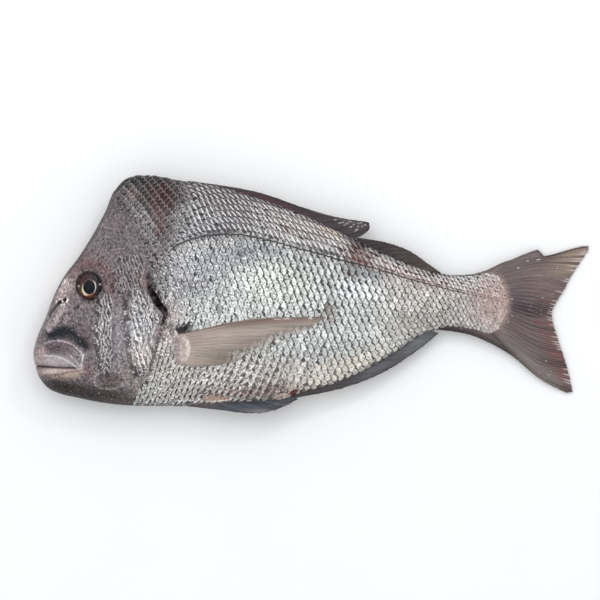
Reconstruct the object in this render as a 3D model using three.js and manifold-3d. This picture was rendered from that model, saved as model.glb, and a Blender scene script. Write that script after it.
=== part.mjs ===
// A whole raw sea bream that lies on its right side, with its left flank up. Millimetres, +Z up.
// +X runs from the snout to the tail and +Y from the belly to the back. The origin is on the
// surface it lies on, under the middle of its box. The fish is one solid, with an eye in each socket.
import * as THREE from "three";
import { mergeVertices } from "three/addons/utils/BufferGeometryUtils.js";
import Module from "manifold-3d";

// The body is drawn by ribs, from snout to tail. A rib joins a point of the back's edge to a point
// of the belly's edge: back x and y, belly x and y, half the thickness, height of the middle plane.
const RIBS = [
  [-279, -59, -279, -59, 14, 29],
  [-275, -43, -277, -71, 15, 29.5],
  [-266, -22, -273, -83, 17, 30],
  [-257, 1, -264, -94, 19, 30.5],
  [-247, 19, -251, -100, 22, 31],
  [-234, 36, -236, -103.5, 24.8, 31.5],
  [-220, 58, -217, -107.5, 27.6, 32],
  [-207, 82, -196, -110.5, 30, 32.3],
  [-197.5, 104, -174, -112, 31.8, 32.6],
  [-184, 117, -152, -112, 33.4, 33],
  [-160, 119, -128, -112, 34.7, 33.2],
  [-130, 114, -102, -110, 35.6, 33.5],
  [-94, 108, -74, -108, 36, 33.5],
  [-52, 95.5, -40, -106, 35, 32.8],
  [-7, 78.5, -4, -97, 31.8, 30],
  [37, 57.5, 37, -84.5, 26.6, 25.8],
  [78, 38, 78, -62, 20.6, 21],
  [111, 25, 110, -41, 15.4, 17],
  [137, 19.5, 137, -33.5, 11.8, 14],
  [160, 20, 160, -36, 9, 11.5],
  [179, 24, 178, -41, 5.8, 9.5],
  [192, 15, 191, -33, 3.2, 8],
  [200, -9, 200, -9, 0, 7],
];
const ROUND_RIBS = 2.4; // ribs over which the snout rounds off
const WIDEST_SHARE = 0.54; // where a section is thickest, from the back's edge to the belly's
const FULLNESS = 0.55; // a section's fullness: 0.5 is an ellipse, and more is narrower at its edges
const RIB_STEPS = 66;
const RING_STEPS = 42;
const HEAD_CROWDING = 1.7; // above 1, the head has closer sections than the tail

// The head's relief, in plan: each line is [x, y] from top to bottom or from front to back.
const RELIEF_FADE = [2, 11]; // distances from the middle plane over which relief comes in
const COVER_EDGE = [
  [-170, 30],
  [-164, 12],
  [-156, -6],
  [-146, -18],
  [-149, -34],
  [-156, -56],
  [-162, -80],
  [-176, -100],
];
const COVER_LIFT = 3;
const COVER_SLOPE = 18;
const COVER_STEP = 2.5; // half the width of the step down from the cover
const HOLLOW_DEPTH = 1.6;
const HOLLOW_WIDTH = 6;
const CHEEK_GROOVES = [
  [-200, -12, -204, -80],
  [-183, -2, -184, -84],
];
const CHEEK_GROOVE_DEPTH = 1.1;
const CHEEK_GROOVE_WIDTH = 3.2;
const BROW_LIFT = 2.2;
const BROW_RADIUS = 18;
const BROW_WIDTH = 5.5;
// Soft bulges: centre x and y, radius along x and along y, height.
const BULGES = [
  [-251, -61, 20, 9, 2.6], // upper lip and jaw bone
  [-255, -80, 20, 5, 2], // lower lip
  [-247, 8, 9, 14, 1.4], // snout before the eye
];

// Eyes: a globe in a socket on each side of the head.
const EYE_X = -222.6;
const EYE_Y = 8.4;
const EYE_RADII = [14.6, 15.6, 8];
const EYE_SUNK = 4.9; // the globe's centre is this far below the flank
const EYE_GAP = 0.3;
const EYE_STEPS = 20;
const NOSTRILS = [
  [-252, -7],
  [-246.5, -5.5],
];
const NOSTRIL_RADIUS = 1.7;

// Slits: a line in plan, and the width and depth of the opening at its middle.
const GILL = {
  line: [[-164, 12], [-159.5, 3], [-153.5, -8], [-147, -15], [-145, -22], [-149, -33]],
  width: 7,
  depth: 8,
};
const MOUTH = {
  line: [[-282, -71.5], [-265, -73], [-248, -73.5], [-231, -75]],
  width: 2,
  depth: 8,
};
const SLIT_END_WIDTH = 0.6;
const SLIT_STEPS = 14;

// Fins. Each is a sheet through its lines, from its root in the flesh out to its free edge.
const TAIL = {
  lines: [
    [[163, 14], [166, -8], [163, -30]],
    [[198, 32.5], [199, -10], [197, -61]],
    [[229, 42], [222, -15], [227, -86]],
    [[278, 46.5], [266, 24], [252, 1], [242, -20], [246, -46], [254, -74], [261.5, -98.5]],
  ],
  steps: [34, 6],
  rays: 17,
  thickness: [9, 1.8],
};
const SPINY_DORSAL = {
  lines: [
    [[-116, 104], [-62, 92], [-10, 72], [34, 51]],
    [[-114, 110], [-60, 98], [-8, 80], [46, 58]],
    [[-112, 111.5], [-58, 101.5], [-8, 85.5], [26, 76.5], [59, 69]],
  ],
  steps: [24, 3],
  rays: 12,
  thickness: [7, 2.6],
};
const SOFT_DORSAL = {
  lines: [
    [[38, 50], [78, 31], [120, 15]],
    [[44, 54.5], [84, 40.5], [126, 20]],
    [[46, 56.5], [74, 52], [98, 43.5], [116, 31], [130, 21]],
  ],
  steps: [22, 2],
  rays: 11,
  thickness: [5, 2],
};
const ANAL = {
  lines: [
    [[-18, -92], [30, -78], [74, -55], [114, -30]],
    [[-13, -98.5], [36, -86.5], [84, -64.5], [121, -37]],
    [[-9, -102], [36, -91], [76, -75], [108, -55], [128, -39]],
  ],
  steps: [22, 3],
  rays: 11,
  thickness: [6, 2.2],
};
const PELVIC = {
  lines: [
    [[-128, -104], [-76, -102], [-32, -100]],
    [[-126, -110], [-72, -112], [-26, -105]],
    [[-124, -112.5], [-98, -115.5], [-58, -120], [-36, -116], [-20, -108]],
  ],
  steps: [12, 3],
  rays: 6,
  thickness: [6, 2.6],
};
const PELVIC_SPREAD = 1.6; // from the middle plane to each pelvic fin: folded, the two lie together
const PECTORAL = {
  lines: [
    [[-137, -40], [-139, -55], [-135, -70]],
    [[-62, -26.5], [-70, -46], [-119, -73]],
    [[18, -24], [-22, -46], [-70, -66], [-103, -72]],
  ],
  steps: [16, 9],
  rays: 8,
  thickness: [5.6, 3.6], // half of it sunk in the flank
};
const RAY_RELIEF = 0.3; // how much thinner a fin is between two rays, as a share
const TAIL_DROOP = 0.077; // fall of the tail fin towards its free edge, for each mm

const SKIN_COLOR = 0xa8a4a1;
const EYE_COLOR = 0x2b2326;
const WELD = 1e-4;

const wasm = await Module();
wasm.setup();

const smoothstep = THREE.MathUtils.smoothstep;
const lerp = THREE.MathUtils.lerp;

// Value at place t, counted in rows, of a smooth curve through each column of a table.
function along(rows, t) {
  const last = rows.length - 1;
  const row = Math.min(Math.floor(t), last - 1);
  const f = t - row;
  const [p0, p1, p2, p3] = [row - 1, row, row + 1, row + 2].map(
    (i) => rows[THREE.MathUtils.clamp(i, 0, last)],
  );
  return p1.map((value, c) => {
    const start = (p2[c] - p0[c]) / 2;
    const end = (p3[c] - value) / 2;
    const rise = p2[c] - value;
    return value + f * (start + f * (3 * rise - 2 * start - end + f * (start + end - 2 * rise)));
  });
}

// One rib: its two ends in plan, half its thickness and the height of the middle plane.
function ribAt(t) {
  const [backX, backY, bellyX, bellyY, half, height] = along(RIBS, t);
  const short = Math.max(0, 1 - t / ROUND_RIBS);
  return { backX, backY, bellyX, bellyY, half: half * Math.sqrt(1 - short * short), height };
}

// Distance of a plan point from a line of [x, y] points, positive behind it, and the share run.
function besideLine(line, x, y) {
  let nearest = { distance: Infinity, share: 0 };
  for (let i = 0; i + 1 < line.length; i++) {
    const [ax, ay] = line[i];
    const [bx, by] = line[i + 1];
    const length2 = (bx - ax) ** 2 + (by - ay) ** 2;
    const f = THREE.MathUtils.clamp(((x - ax) * (bx - ax) + (y - ay) * (by - ay)) / length2, 0, 1);
    const distance = Math.hypot(x - lerp(ax, bx, f), y - lerp(ay, by, f));
    if (distance < Math.abs(nearest.distance)) {
      const side = Math.sign((by - ay) * (ax - x) - (bx - ax) * (ay - y)) || 1;
      nearest = { distance: distance * side, share: (i + f) / (line.length - 1) };
    }
  }
  return nearest;
}

const bump = (distance, width) => Math.exp(-((distance / width) ** 2));

// How far the skin stands proud of the plain loft at a plan point, on either side of the fish.
function relief(x, y) {
  let lift = 0;
  const cover = besideLine(COVER_EDGE, x, y);
  const ends = smoothstep(cover.share, 0, 0.2) * (1 - smoothstep(cover.share, 0.8, 1));
  const plate = COVER_LIFT * Math.exp(Math.min(0, cover.distance) / COVER_SLOPE);
  const hollow = -HOLLOW_DEPTH * Math.exp(Math.min(0, -cover.distance) / HOLLOW_WIDTH);
  lift += ends * lerp(plate, hollow, smoothstep(cover.distance, -COVER_STEP, COVER_STEP));
  for (const [x0, y0, x1, y1] of CHEEK_GROOVES) {
    const { distance, share } = besideLine([[x0, y0], [x1, y1]], x, y);
    lift -= CHEEK_GROOVE_DEPTH * bump(distance, CHEEK_GROOVE_WIDTH) * Math.sin(Math.PI * share);
  }
  for (const [cx, cy, rx, ry, height] of BULGES) {
    lift += height * bump(Math.hypot((x - cx) / rx, (y - cy) / ry), 1);
  }
  const fromEye = Math.hypot(x - EYE_X, y - EYE_Y);
  lift += BROW_LIFT * bump(fromEye - BROW_RADIUS, BROW_WIDTH);
  return lift;
}

// Height of the skin over a plan point of a rib, at a share of the way from its back to its belly.
function skinHeight(rib, share, x, y, side) {
  const swell = (4 * share * (1 - share)) ** FULLNESS;
  const plain = rib.half * swell;
  const away = plain + relief(x, y) * smoothstep(plain, ...RELIEF_FADE);
  return Math.max(0, rib.height + side * away);
}

const shareOf = (plain) => plain ** (Math.log(WIDEST_SHARE) / Math.log(0.5));
const plainShareOf = (share) => share ** (Math.log(0.5) / Math.log(WIDEST_SHARE));

// Height of the skin at a plan point: the rib through the point is found by halving.
function flank(x, y, side) {
  let low = 0;
  let high = RIBS.length - 1;
  for (let i = 0; i < 30; i++) {
    const t = (low + high) / 2;
    const { backX, backY, bellyX, bellyY } = ribAt(t);
    const behind = (x - bellyX) * (backY - bellyY) - (y - bellyY) * (backX - bellyX);
    if (behind > 0) low = t;
    else high = t;
  }
  const rib = ribAt(low);
  const run = Math.hypot(x - rib.backX, y - rib.backY);
  const share = Math.min(1, run / Math.hypot(rib.bellyX - rib.backX, rib.bellyY - rib.backY));
  return skinHeight(rib, plainShareOf(share), x, y, side);
}

// Moves each vertex of a geometry to where place(x, y, z, u, v) puts it.
function reshape(geometry, place) {
  const position = geometry.attributes.position;
  const uv = geometry.attributes.uv;
  for (let i = 0; i < position.count; i++) {
    const [x, y, z] = [position.getX(i), position.getY(i), position.getZ(i)];
    position.setXYZ(i, ...place(x, y, z, uv.getX(i), uv.getY(i)));
  }
  return geometry;
}

// A closed geometry as a solid with its faces turned outwards.
function solid(geometry) {
  geometry.deleteAttribute("normal");
  geometry.deleteAttribute("uv");
  const merged = mergeVertices(geometry, WELD);
  const vertProperties = merged.attributes.position.array;
  const triVerts = new Uint32Array(merged.index.array);
  const made = new wasm.Manifold(new wasm.Mesh({ numProp: 3, vertProperties, triVerts }));
  if (made.volume() > 0) return made;
  const turned = triVerts.map((_, i) => triVerts[i - (i % 3) + [0, 2, 1][i % 3]]);
  return new wasm.Manifold(new wasm.Mesh({ numProp: 3, vertProperties, triVerts: turned }));
}

// The body without fins: a sphere whose poles are the snout and the end of the flesh on the tail.
function body() {
  const sphere = new THREE.SphereGeometry(1, RING_STEPS, RIB_STEPS);
  return solid(
    reshape(sphere, (x, y, z, u, v) => {
      const rib = ribAt((RIBS.length - 1) * (1 - v) ** HEAD_CROWDING);
      const angle = Math.round(u * RING_STEPS * 2) / RING_STEPS * Math.PI;
      const plain = (1 + Math.cos(angle)) / 2;
      const share = shareOf(plain);
      const px = lerp(rib.backX, rib.bellyX, share);
      const py = lerp(rib.backY, rib.bellyY, share);
      return [px, py, skinHeight(rib, plain, px, py, Math.sign(Math.sin(angle)))];
    }),
  );
}

// A fin: a thin block bent through the fin's lines, with a ridge for each ray.
function fin({ lines, steps, rays, thickness }, heightAt) {
  const block = new THREE.BoxGeometry(1, 1, 1, steps[0], steps[1], 1);
  return solid(
    reshape(block, (x, y, z) => {
      const across = x + 0.5;
      const out = y + 0.5;
      const ray = lines.map((line) => along(line, across * (line.length - 1)));
      const [px, py] = along(ray, out * (ray.length - 1));
      const ridge = 1 - RAY_RELIEF * (0.5 + 0.5 * Math.cos(2 * Math.PI * rays * across));
      const thick = ridge * lerp(thickness[0], thickness[1], Math.sqrt(out));
      return [px, py, Math.max(0, heightAt(px, py) + z * thick)];
    }),
  );
}

// Height of the fish's middle plane at x, which goes on past the flesh into the tail fin.
function middlePlane(x) {
  const place = RIBS.findIndex(([backX]) => backX > x);
  if (place > 0) {
    const [before, after] = [RIBS[place - 1], RIBS[place]];
    return lerp(before[5], after[5], (x - before[0]) / (after[0] - before[0]));
  }
  const tip = RIBS.at(-1);
  return tip[5] - TAIL_DROOP * (x - tip[0]);
}

function eyeball(side, margin) {
  const radii = EYE_RADII.map((r) => r + margin);
  const globe = new THREE.SphereGeometry(1, EYE_STEPS, EYE_STEPS / 2).rotateX(Math.PI / 2).scale(...radii);
  const centre = flank(EYE_X, EYE_Y, side) - side * EYE_SUNK;
  return solid(globe.translate(EYE_X, EYE_Y, centre));
}

// The blade that opens a slit in the skin: widest and deepest at the middle of its line.
function slitBlade({ line, width, depth }, side) {
  const block = new THREE.BoxGeometry(1, 1, 1, SLIT_STEPS, 1, 1);
  return solid(
    reshape(block, (x, y, z) => {
      const t = (x + 0.5) * (line.length - 1);
      const [px, py] = along(line, t);
      const [qx, qy] = along(line, Math.min(t + 0.1, line.length - 1));
      const [rx, ry] = along(line, Math.max(t - 0.1, 0));
      const opening = Math.sin(Math.PI * (x + 0.5));
      const aside = (y * (SLIT_END_WIDTH + width * opening ** 2)) / Math.hypot(qx - rx, qy - ry);
      const skin = flank(px, py, side);
      const reach = z * side > 0 ? depth : -(1 + (depth - 1) * opening);
      return [px - aside * (qy - ry), py + aside * (qx - rx), skin + side * reach];
    }),
  );
}

function wholeFish() {
  let fish = body()
    .add(fin(TAIL, (x) => middlePlane(x)))
    .add(fin(SPINY_DORSAL, (x) => middlePlane(x)))
    .add(fin(SOFT_DORSAL, (x) => middlePlane(x)))
    .add(fin(ANAL, (x) => middlePlane(x)));
  for (const side of [1, -1]) {
    fish = fish
      .add(fin(PECTORAL, (x, y) => flank(x, y, side)))
      .add(fin(PELVIC, (x) => middlePlane(x) + side * PELVIC_SPREAD))
      .subtract(slitBlade(GILL, side))
      .subtract(slitBlade(MOUTH, side))
      .subtract(eyeball(side, EYE_GAP));
    for (const [x, y] of NOSTRILS) {
      const pit = new THREE.SphereGeometry(NOSTRIL_RADIUS, 8, 6);
      fish = fish.subtract(solid(pit.translate(x, y, flank(x, y, side))));
    }
  }
  return fish;
}

// A named mesh of a solid.
function mesh(name, made, color, roughness) {
  const { vertProperties, triVerts } = made.getMesh();
  const geometry = new THREE.BufferGeometry();
  geometry.setAttribute("position", new THREE.BufferAttribute(vertProperties, 3));
  geometry.setIndex(new THREE.BufferAttribute(triVerts, 1));
  geometry.computeVertexNormals();
  const material = new THREE.MeshStandardMaterial({ color, roughness, metalness: 0 });
  const node = new THREE.Mesh(geometry, material);
  node.name = name;
  return node;
}

const root = new THREE.Group();
root.add(mesh("fish", wholeFish(), SKIN_COLOR, 0.35));
root.add(mesh("eye_left", eyeball(1, 0), EYE_COLOR, 0.1));
root.add(mesh("eye_right", eyeball(-1, 0), EYE_COLOR, 0.1));

export default root;
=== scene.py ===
# A whole raw sea bream, wet and silvery, lying on its right side. Lengths are in millimetres until
# a mesh is written. +X runs to the tail, +Y to the back, and the left flank looks up.
import math

import bpy
import numpy as np
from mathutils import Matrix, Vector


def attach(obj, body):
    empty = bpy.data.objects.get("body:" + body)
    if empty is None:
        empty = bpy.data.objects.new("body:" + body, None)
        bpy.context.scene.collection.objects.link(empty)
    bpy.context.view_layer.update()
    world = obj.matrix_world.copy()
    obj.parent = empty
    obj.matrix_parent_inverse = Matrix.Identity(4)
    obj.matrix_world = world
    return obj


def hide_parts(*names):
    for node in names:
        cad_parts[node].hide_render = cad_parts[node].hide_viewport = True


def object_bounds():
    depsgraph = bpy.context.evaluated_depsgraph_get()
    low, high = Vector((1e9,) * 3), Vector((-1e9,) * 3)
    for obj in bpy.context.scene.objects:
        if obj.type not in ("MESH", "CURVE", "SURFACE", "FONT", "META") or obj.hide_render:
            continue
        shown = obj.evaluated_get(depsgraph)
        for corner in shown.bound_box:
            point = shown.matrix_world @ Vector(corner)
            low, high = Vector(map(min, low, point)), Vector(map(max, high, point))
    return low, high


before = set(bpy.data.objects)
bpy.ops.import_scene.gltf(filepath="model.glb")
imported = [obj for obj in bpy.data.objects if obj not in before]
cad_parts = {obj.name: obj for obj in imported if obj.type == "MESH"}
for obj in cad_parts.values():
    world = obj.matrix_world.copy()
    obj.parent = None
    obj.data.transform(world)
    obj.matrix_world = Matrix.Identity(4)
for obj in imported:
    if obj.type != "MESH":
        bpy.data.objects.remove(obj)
cad_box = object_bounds()
bpy.ops.object.select_all(action="DESELECT")

# ---------------------------------------------------------------------------------------------
# The table under the fish, with the light and the camera. The table is a plain pale board with a
# faint mottling. It is stage, and not part of the fish.
MM = 0.001
TABLE_SIZE = 6.0
CAMERA_HEIGHT = 6.0
FISH_MIDDLE = (-0.012, -0.006, 0.033)
VIEW_WIDTH = 0.6
SENSOR_WIDTH = 36
BOARD_TONES = ((246, 246, 246), (250, 250, 249))
MOTTLES_PER_METRE = 9
SKY_TONE = (0.95, 0.97, 1.0, 1)
SKY_STRENGTH = 0.8
# Each lamp, which looks at the origin: name, place, width, watts.
LAMPS = [
    ("softbox", (-0.3, 0.5, 1.9), 1.6, 13),
    ("glint", (0.5, 0.9, 1.2), 0.2, 2.0),
]


class Value:
    """A node's output that takes part in sums, each of which adds a Math node."""

    def __init__(self, finish, output):
        self.finish = finish
        self.output = output

    def maths(self, operation, *terms):
        return self.finish.add("ShaderNodeMath", {"operation": operation}, dict(enumerate(terms)))

    def __add__(self, other):
        return self.maths("ADD", self, other)

    def __sub__(self, other):
        return self.maths("SUBTRACT", self, other)

    def __rsub__(self, other):
        return self.maths("SUBTRACT", other, self)

    def __mul__(self, other):
        return self.maths("MULTIPLY", self, other)

    def __truediv__(self, other):
        return self.maths("DIVIDE", self, other)

    def __pow__(self, other):
        return self.maths("POWER", self, other)

    def __abs__(self):
        return self.maths("ABSOLUTE", self)

    def at_least(self, other):
        return self.maths("MAXIMUM", self, other)

    __radd__ = __add__
    __rmul__ = __mul__


class Finish:
    """A surface's material: its shader's constants, and one method that adds any node."""

    def __init__(self, name, constants):
        self.material = bpy.data.materials.new(name)
        self.material.use_nodes = True
        self.nodes = self.material.node_tree.nodes
        self.links = self.material.node_tree.links
        self.shader = self.nodes["Principled BSDF"]
        for socket, value in constants.items():
            self.shader.inputs[socket].default_value = value

    def add(self, kind, settings, sockets, out=0):
        node = self.nodes.new(kind)
        for name, value in settings.items():
            setattr(node, name, value)
        for name, value in sockets.items():
            if isinstance(value, Value):
                self.links.new(value.output, node.inputs[name])
            else:
                node.inputs[name].default_value = value
        return Value(self, node.outputs[out])

    def feed(self, socket, value):
        self.links.new(value.output, self.shader.inputs[socket])

    def place(self):
        return self.add("ShaderNodeTexCoord", {}, {}, "Object")

    def part(self, vector, axis):
        return self.add("ShaderNodeSeparateXYZ", {}, {0: vector}, axis)

    def joined(self, *parts):
        return self.add("ShaderNodeCombineXYZ", {}, dict(enumerate(parts)))

    def noise(self, vector, per_metre, detail=3.0, rough=0.55):
        sockets = {"Vector": vector, "Scale": per_metre, "Detail": detail, "Roughness": rough}
        return self.add("ShaderNodeTexNoise", {}, sockets, "Fac")

    def ease(self, value, low, high):
        sockets = {"Value": value, "From Min": low, "From Max": high}
        return self.add("ShaderNodeMapRange", {"interpolation_type": "SMOOTHSTEP"}, sockets)

    def mix(self, mask, under, over, kind="MIX"):
        settings = {"data_type": "RGBA", "blend_type": kind}
        return self.add("ShaderNodeMix", settings, {0: mask, 6: under, 7: over}, 2)

    def colour(self, attribute, out="Color"):
        return self.add("ShaderNodeAttribute", {"attribute_name": attribute}, {}, out)

    def bump(self, height, depth):
        sockets = {"Height": height, "Distance": depth, "Strength": 1.0}
        self.feed("Normal", self.add("ShaderNodeBump", {}, sockets))


def linear(red, green, blue):
    """The light that a colour of everyday 0 to 255 values reflects, with a fourth value of 1."""
    shares = np.array([red, green, blue]) / 255
    light = np.where(shares > 0.04045, ((shares + 0.055) / 1.055) ** 2.4, shares / 12.92)
    return (*light, 1.0)


bpy.ops.mesh.primitive_plane_add(size=TABLE_SIZE, location=(0, 0, 0))
table = bpy.context.object
table.name = "table"
board = Finish("pale_board", {"Roughness": 0.7})
mottle = board.noise(board.place(), MOTTLES_PER_METRE)
board.feed("Base Color", board.mix(mottle, *(linear(*tone) for tone in BOARD_TONES)))
table.data.materials.append(board.material)

world = bpy.data.worlds.new("studio")
world.use_nodes = True
world.node_tree.nodes["Background"].inputs["Color"].default_value = SKY_TONE
world.node_tree.nodes["Background"].inputs["Strength"].default_value = SKY_STRENGTH
bpy.context.scene.world = world
bpy.context.scene.view_settings.view_transform = "Standard"

for name, place, width, watts in LAMPS:
    lamp = bpy.data.lights.new(name, "AREA")
    lamp.size = width
    lamp.energy = watts
    holder = bpy.data.objects.new(name, lamp)
    bpy.context.scene.collection.objects.link(holder)
    holder.location = place
    tilt = math.acos(place[2] / np.linalg.norm(place))
    holder.rotation_euler = (tilt, 0, math.atan2(place[1], place[0]) + math.pi / 2)

lens = bpy.data.cameras.new("camera")
lens.sensor_width = SENSOR_WIDTH
lens.lens = SENSOR_WIDTH * (CAMERA_HEIGHT - FISH_MIDDLE[2]) / VIEW_WIDTH
camera = bpy.data.objects.new("camera", lens)
camera.location = (FISH_MIDDLE[0], FISH_MIDDLE[1], CAMERA_HEIGHT)
bpy.context.scene.collection.objects.link(camera)
bpy.context.scene.camera = camera

# ---------------------------------------------------------------------------------------------
# The head: bone plates under bare, slimy, mauve-grey skin, with lips, two nostrils on each side, a
# gill cover that stands proud of the shoulder, and a dark slit behind it. It is one closed skin.

# The body is drawn by ribs, each from a point of the back's edge to one of the belly's edge: back
# x and y, belly x and y, half the thickness, height of the middle plane.
RIBS = [
    [-279, -59, -279, -59, 14, 29],
    [-275, -43, -277, -71, 15, 29.5],
    [-266, -22, -273, -83, 17, 30],
    [-257, 1, -264, -94, 19, 30.5],
    [-247, 19, -251, -100, 22, 31],
    [-234, 36, -236, -103.5, 24.8, 31.5],
    [-220, 58, -217, -107.5, 27.6, 32],
    [-207, 82, -196, -110.5, 30, 32.3],
    [-197.5, 104, -174, -112, 31.8, 32.6],
    [-184, 117, -152, -112, 33.4, 33],
    [-160, 119, -128, -112, 34.7, 33.2],
    [-130, 114, -102, -110, 35.6, 33.5],
    [-94, 108, -74, -108, 36, 33.5],
    [-52, 95.5, -40, -106, 35, 32.8],
    [-7, 78.5, -4, -97, 31.8, 30],
    [37, 57.5, 37, -84.5, 26.6, 25.8],
    [78, 38, 78, -62, 20.6, 21],
    [111, 25, 110, -41, 15.4, 17],
    [137, 19.5, 137, -33.5, 11.8, 14],
    [160, 20, 160, -36, 9, 11.5],
    [179, 24, 178, -41, 5.8, 9.5],
    [192, 15, 191, -33, 3.2, 8],
    [200, -9, 200, -9, 0, 7],
]
SIDES = ((1, "left"), (-1, "right"))
TAIL_START = (200, 7)  # where the ribs end, and the height of the middle plane there
TAIL_DROOP = 0.077  # of the middle plane behind the last rib
ROUND_RIBS = 2.4  # ribs over which the snout rounds off
WIDEST_SHARE = 0.54  # where a section is thickest, from the back's edge to the belly's
FULLNESS = 0.55  # a section's fullness: 0.5 is an ellipse, and more is narrower at its edges
RELIEF_FADE = (2, 11)  # distances from the middle plane over which relief comes in
# Near the back's and the belly's edges the colour darkens: darker skin there, and painted shade
# where the body turns away from the light.
DARK_EDGE = (2.5, 9.5)  # distances from it over which the dark of the edge fades
SLIM_BODY = 24  # half the thickness under which that dark edge narrows too
COVER_EDGE = [
    [-170, 30],
    [-164, 12],
    [-156, -6],
    [-146, -18],
    [-149, -34],
    [-156, -56],
    [-162, -80],
    [-176, -100],
]
COVER_LIFT = 3
COVER_SLOPE = 18
COVER_ENDS = 0.2  # share of the edge's run over which it comes in, and goes again
COVER_STEP = 1.3  # half the width of the step down from the cover
HOLLOW_DEPTH = 1.6
HOLLOW_WIDTH = 6
BROW_LIFT = 2.2
BROW_RADIUS = 18
BROW_WIDTH = 5.5
# Soft bulges: centre x and y, radius along x and along y, height.
BULGES = [
    [-251, -61, 20, 9, 2.6],
    [-255, -80, 20, 5, 2],
    [-247, 8, 9, 14, 1.4],
]
EYE = (-221.4, 7.8)
EYE_RADII = (14.6, 15.6, 8)
EYE_SUNK = 4.9
ORBIT = (12.3, 13.8)  # half the width and height of the opening in the skin
ORBIT_DEPTH = 8.5
ORBIT_WALL = (0.78, 1.0)  # where the wall starts and ends, in sizes of the opening
ORBIT_RIM = (1.06, 14, 0.7)  # where its rim stands, how sharp, how high
LID_SHADE = (1.04, 9, 0.85)  # the same for the dark round it
GILL_LINE = [[-164, 12], [-159.5, 3], [-153.5, -8], [-147, -15], [-145, -22], [-149, -33]]
GILL_WIDTH = 7.5
GILL_DEPTH = 8
GILL_NARROWED = 0.42  # share of its width that the lower end of the slit lacks
GILL_NARROWING = (0.45, 0.8)  # shares of its length between which it narrows
GILL_ROUNDNESS = 0.8  # under 1, its ends are blunter
GILL_LEAST = 0.4
# Lines of the head, as points in plan.
MOUTH = [[-284, -71.5], [-264, -73], [-248, -73.8], [-232, -74]]
LIP_RIM = [[-268, -61], [-257, -61.5], [-247, -64], [-240, -69], [-232, -76]]
JAW_RIM = [
    [-268, -50],
    [-260, -47],
    [-250, -46.5],
    [-240, -50],
    [-232, -56],
    [-228, -63],
    [-229, -73],
]
CHIN_CREASE = [[-272, -82], [-254, -81], [-233, -76]]
CHEEK_FRONT = [[-198.5, -24], [-198, -46], [-199, -66], [-204, -78], [-212, -86]]
CHEEK_REAR = [[-187.5, 2], [-186.5, -21], [-185, -41], [-183.5, -58], [-181, -73]]
COVER_FOOT = [[-181, -73], [-173, -77], [-165, -75]]
COVER_RIM = [[-147, -13], [-146, -20], [-149, -34], [-155, -52], [-159, -66], [-164, -78]]
THROAT_FOLD = [[-162, -82], [-169, -94], [-178, -108]]
EYE_CREASE = [[-228, -7], [-236, -17], [-241, -27]]
EYE_BAND = [[-213, -8], [-224, -22], [-232, -36]]
BROW = [[-244, 14], [-237, 25], [-221, 30], [-205, 25], [-197, 12], [-200, -2]]
LIP_LINE = [[-269, -61.5], [-257, -62], [-247, -65], [-239, -70], [-231, -76]]
LOWER_LIP_LINE = [[-272, -81.5], [-254, -80.5], [-240, -78], [-230, -76]]
LIP_BED = [[-274, -68], [-256, -69], [-240, -73]]  # smooth wet skin, with little grain
MOUSTACHE = [[-265, -44], [-252, -38], [-240, -38.5], [-231, -47], [-222, -55]]
NOSTRIL_GLINTS = [
    [[-256, -10], [-254.6, -6.6]],
    [[-253.2, -5.2], [-249.2, -4.9]],
    [[-251.6, -10.8], [-246.4, -10.2]],
    [[-244.8, -8.8], [-243.5, -5.0]],
    [[-249.2, -8.4], [-248.6, -6.4]],
]
SNOUT_FOLD = [[-262, -32], [-256, -20], [-251, -9]]
FOLD_ENDS = 0.15  # share of a fold's run over which each of its ends fades
# Folds of the skin: points in plan, height (below zero is a groove), half width.
FOLDS = [
    (MOUTH, -2.6, 0.8),
    (LIP_RIM, 0.7, 1.1),
    (JAW_RIM, 0.9, 1.1),
    (CHIN_CREASE, -1.0, 1.0),
    (CHEEK_FRONT, -0.8, 1.3),
    (CHEEK_REAR, -1.2, 1.3),
    (COVER_FOOT, -0.8, 1.1),
    (THROAT_FOLD, -1.0, 1.5),
    (EYE_CREASE, -0.6, 1.4),
    (EYE_BAND, 0.5, 3.0),
    (SNOUT_FOLD, 0.7, 2.4),
]
CHIN_OVAL = (-202, -86, 15.5, 9)  # the jaw's inner bone, ringed by a pale ridge
CHIN_RIDGE = (9, 0.6)  # how sharp and how high
CHIN_RIDGE_TINT = (10, 0.5)  # how sharp and how strong
CHIN_DISH = 0.5
# Nostrils: centre x and y, radius of the pit.
NOSTRILS = [(-251.4, -8.2, 1.9), (-246.8, -6.0, 2.2)]
NOSTRIL_SQUASH = 1.1  # how much longer than high
NOSTRIL_DEPTH = 2.6
NOSTRIL_RIM = (1.25, 3.5, 0.55)  # where it stands in radii, how sharp, how high
# Where the bare skin ends and the first scales root: plan y, and the x there.
SCALED_FRONT = (
    [-110, -90, -74, -56, -36, -21, -6, 14, 32, 49, 72, 87, 94, 104, 118],
    [-182, -168, -160, -154, -150, -146, -150, -158, -164, -169, -178, -188, -196, -202, -202],
)
SKIN_SUNK = 0.85  # of the skin under the scales
SUNK_OVER = (1, 7)  # behind the first scales' roots, where it sinks
EDGE_RELIEF = 0.6  # of the fine relief, at the fish's edges
EDGE_FADE = (0.5, 4)  # distances from the middle plane over which it becomes whole
HEAD_TIP = [-150, 0, 33]  # inside the body, where the head's skin closes
HEAD_END = 10.6  # the rib where the head's skin ends, under the first scales
HEAD_CROWDING = 1.45  # above 1, the snout has closer rings
WET_IOR = 1.25  # under its coat of water, flesh itself reflects little


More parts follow.
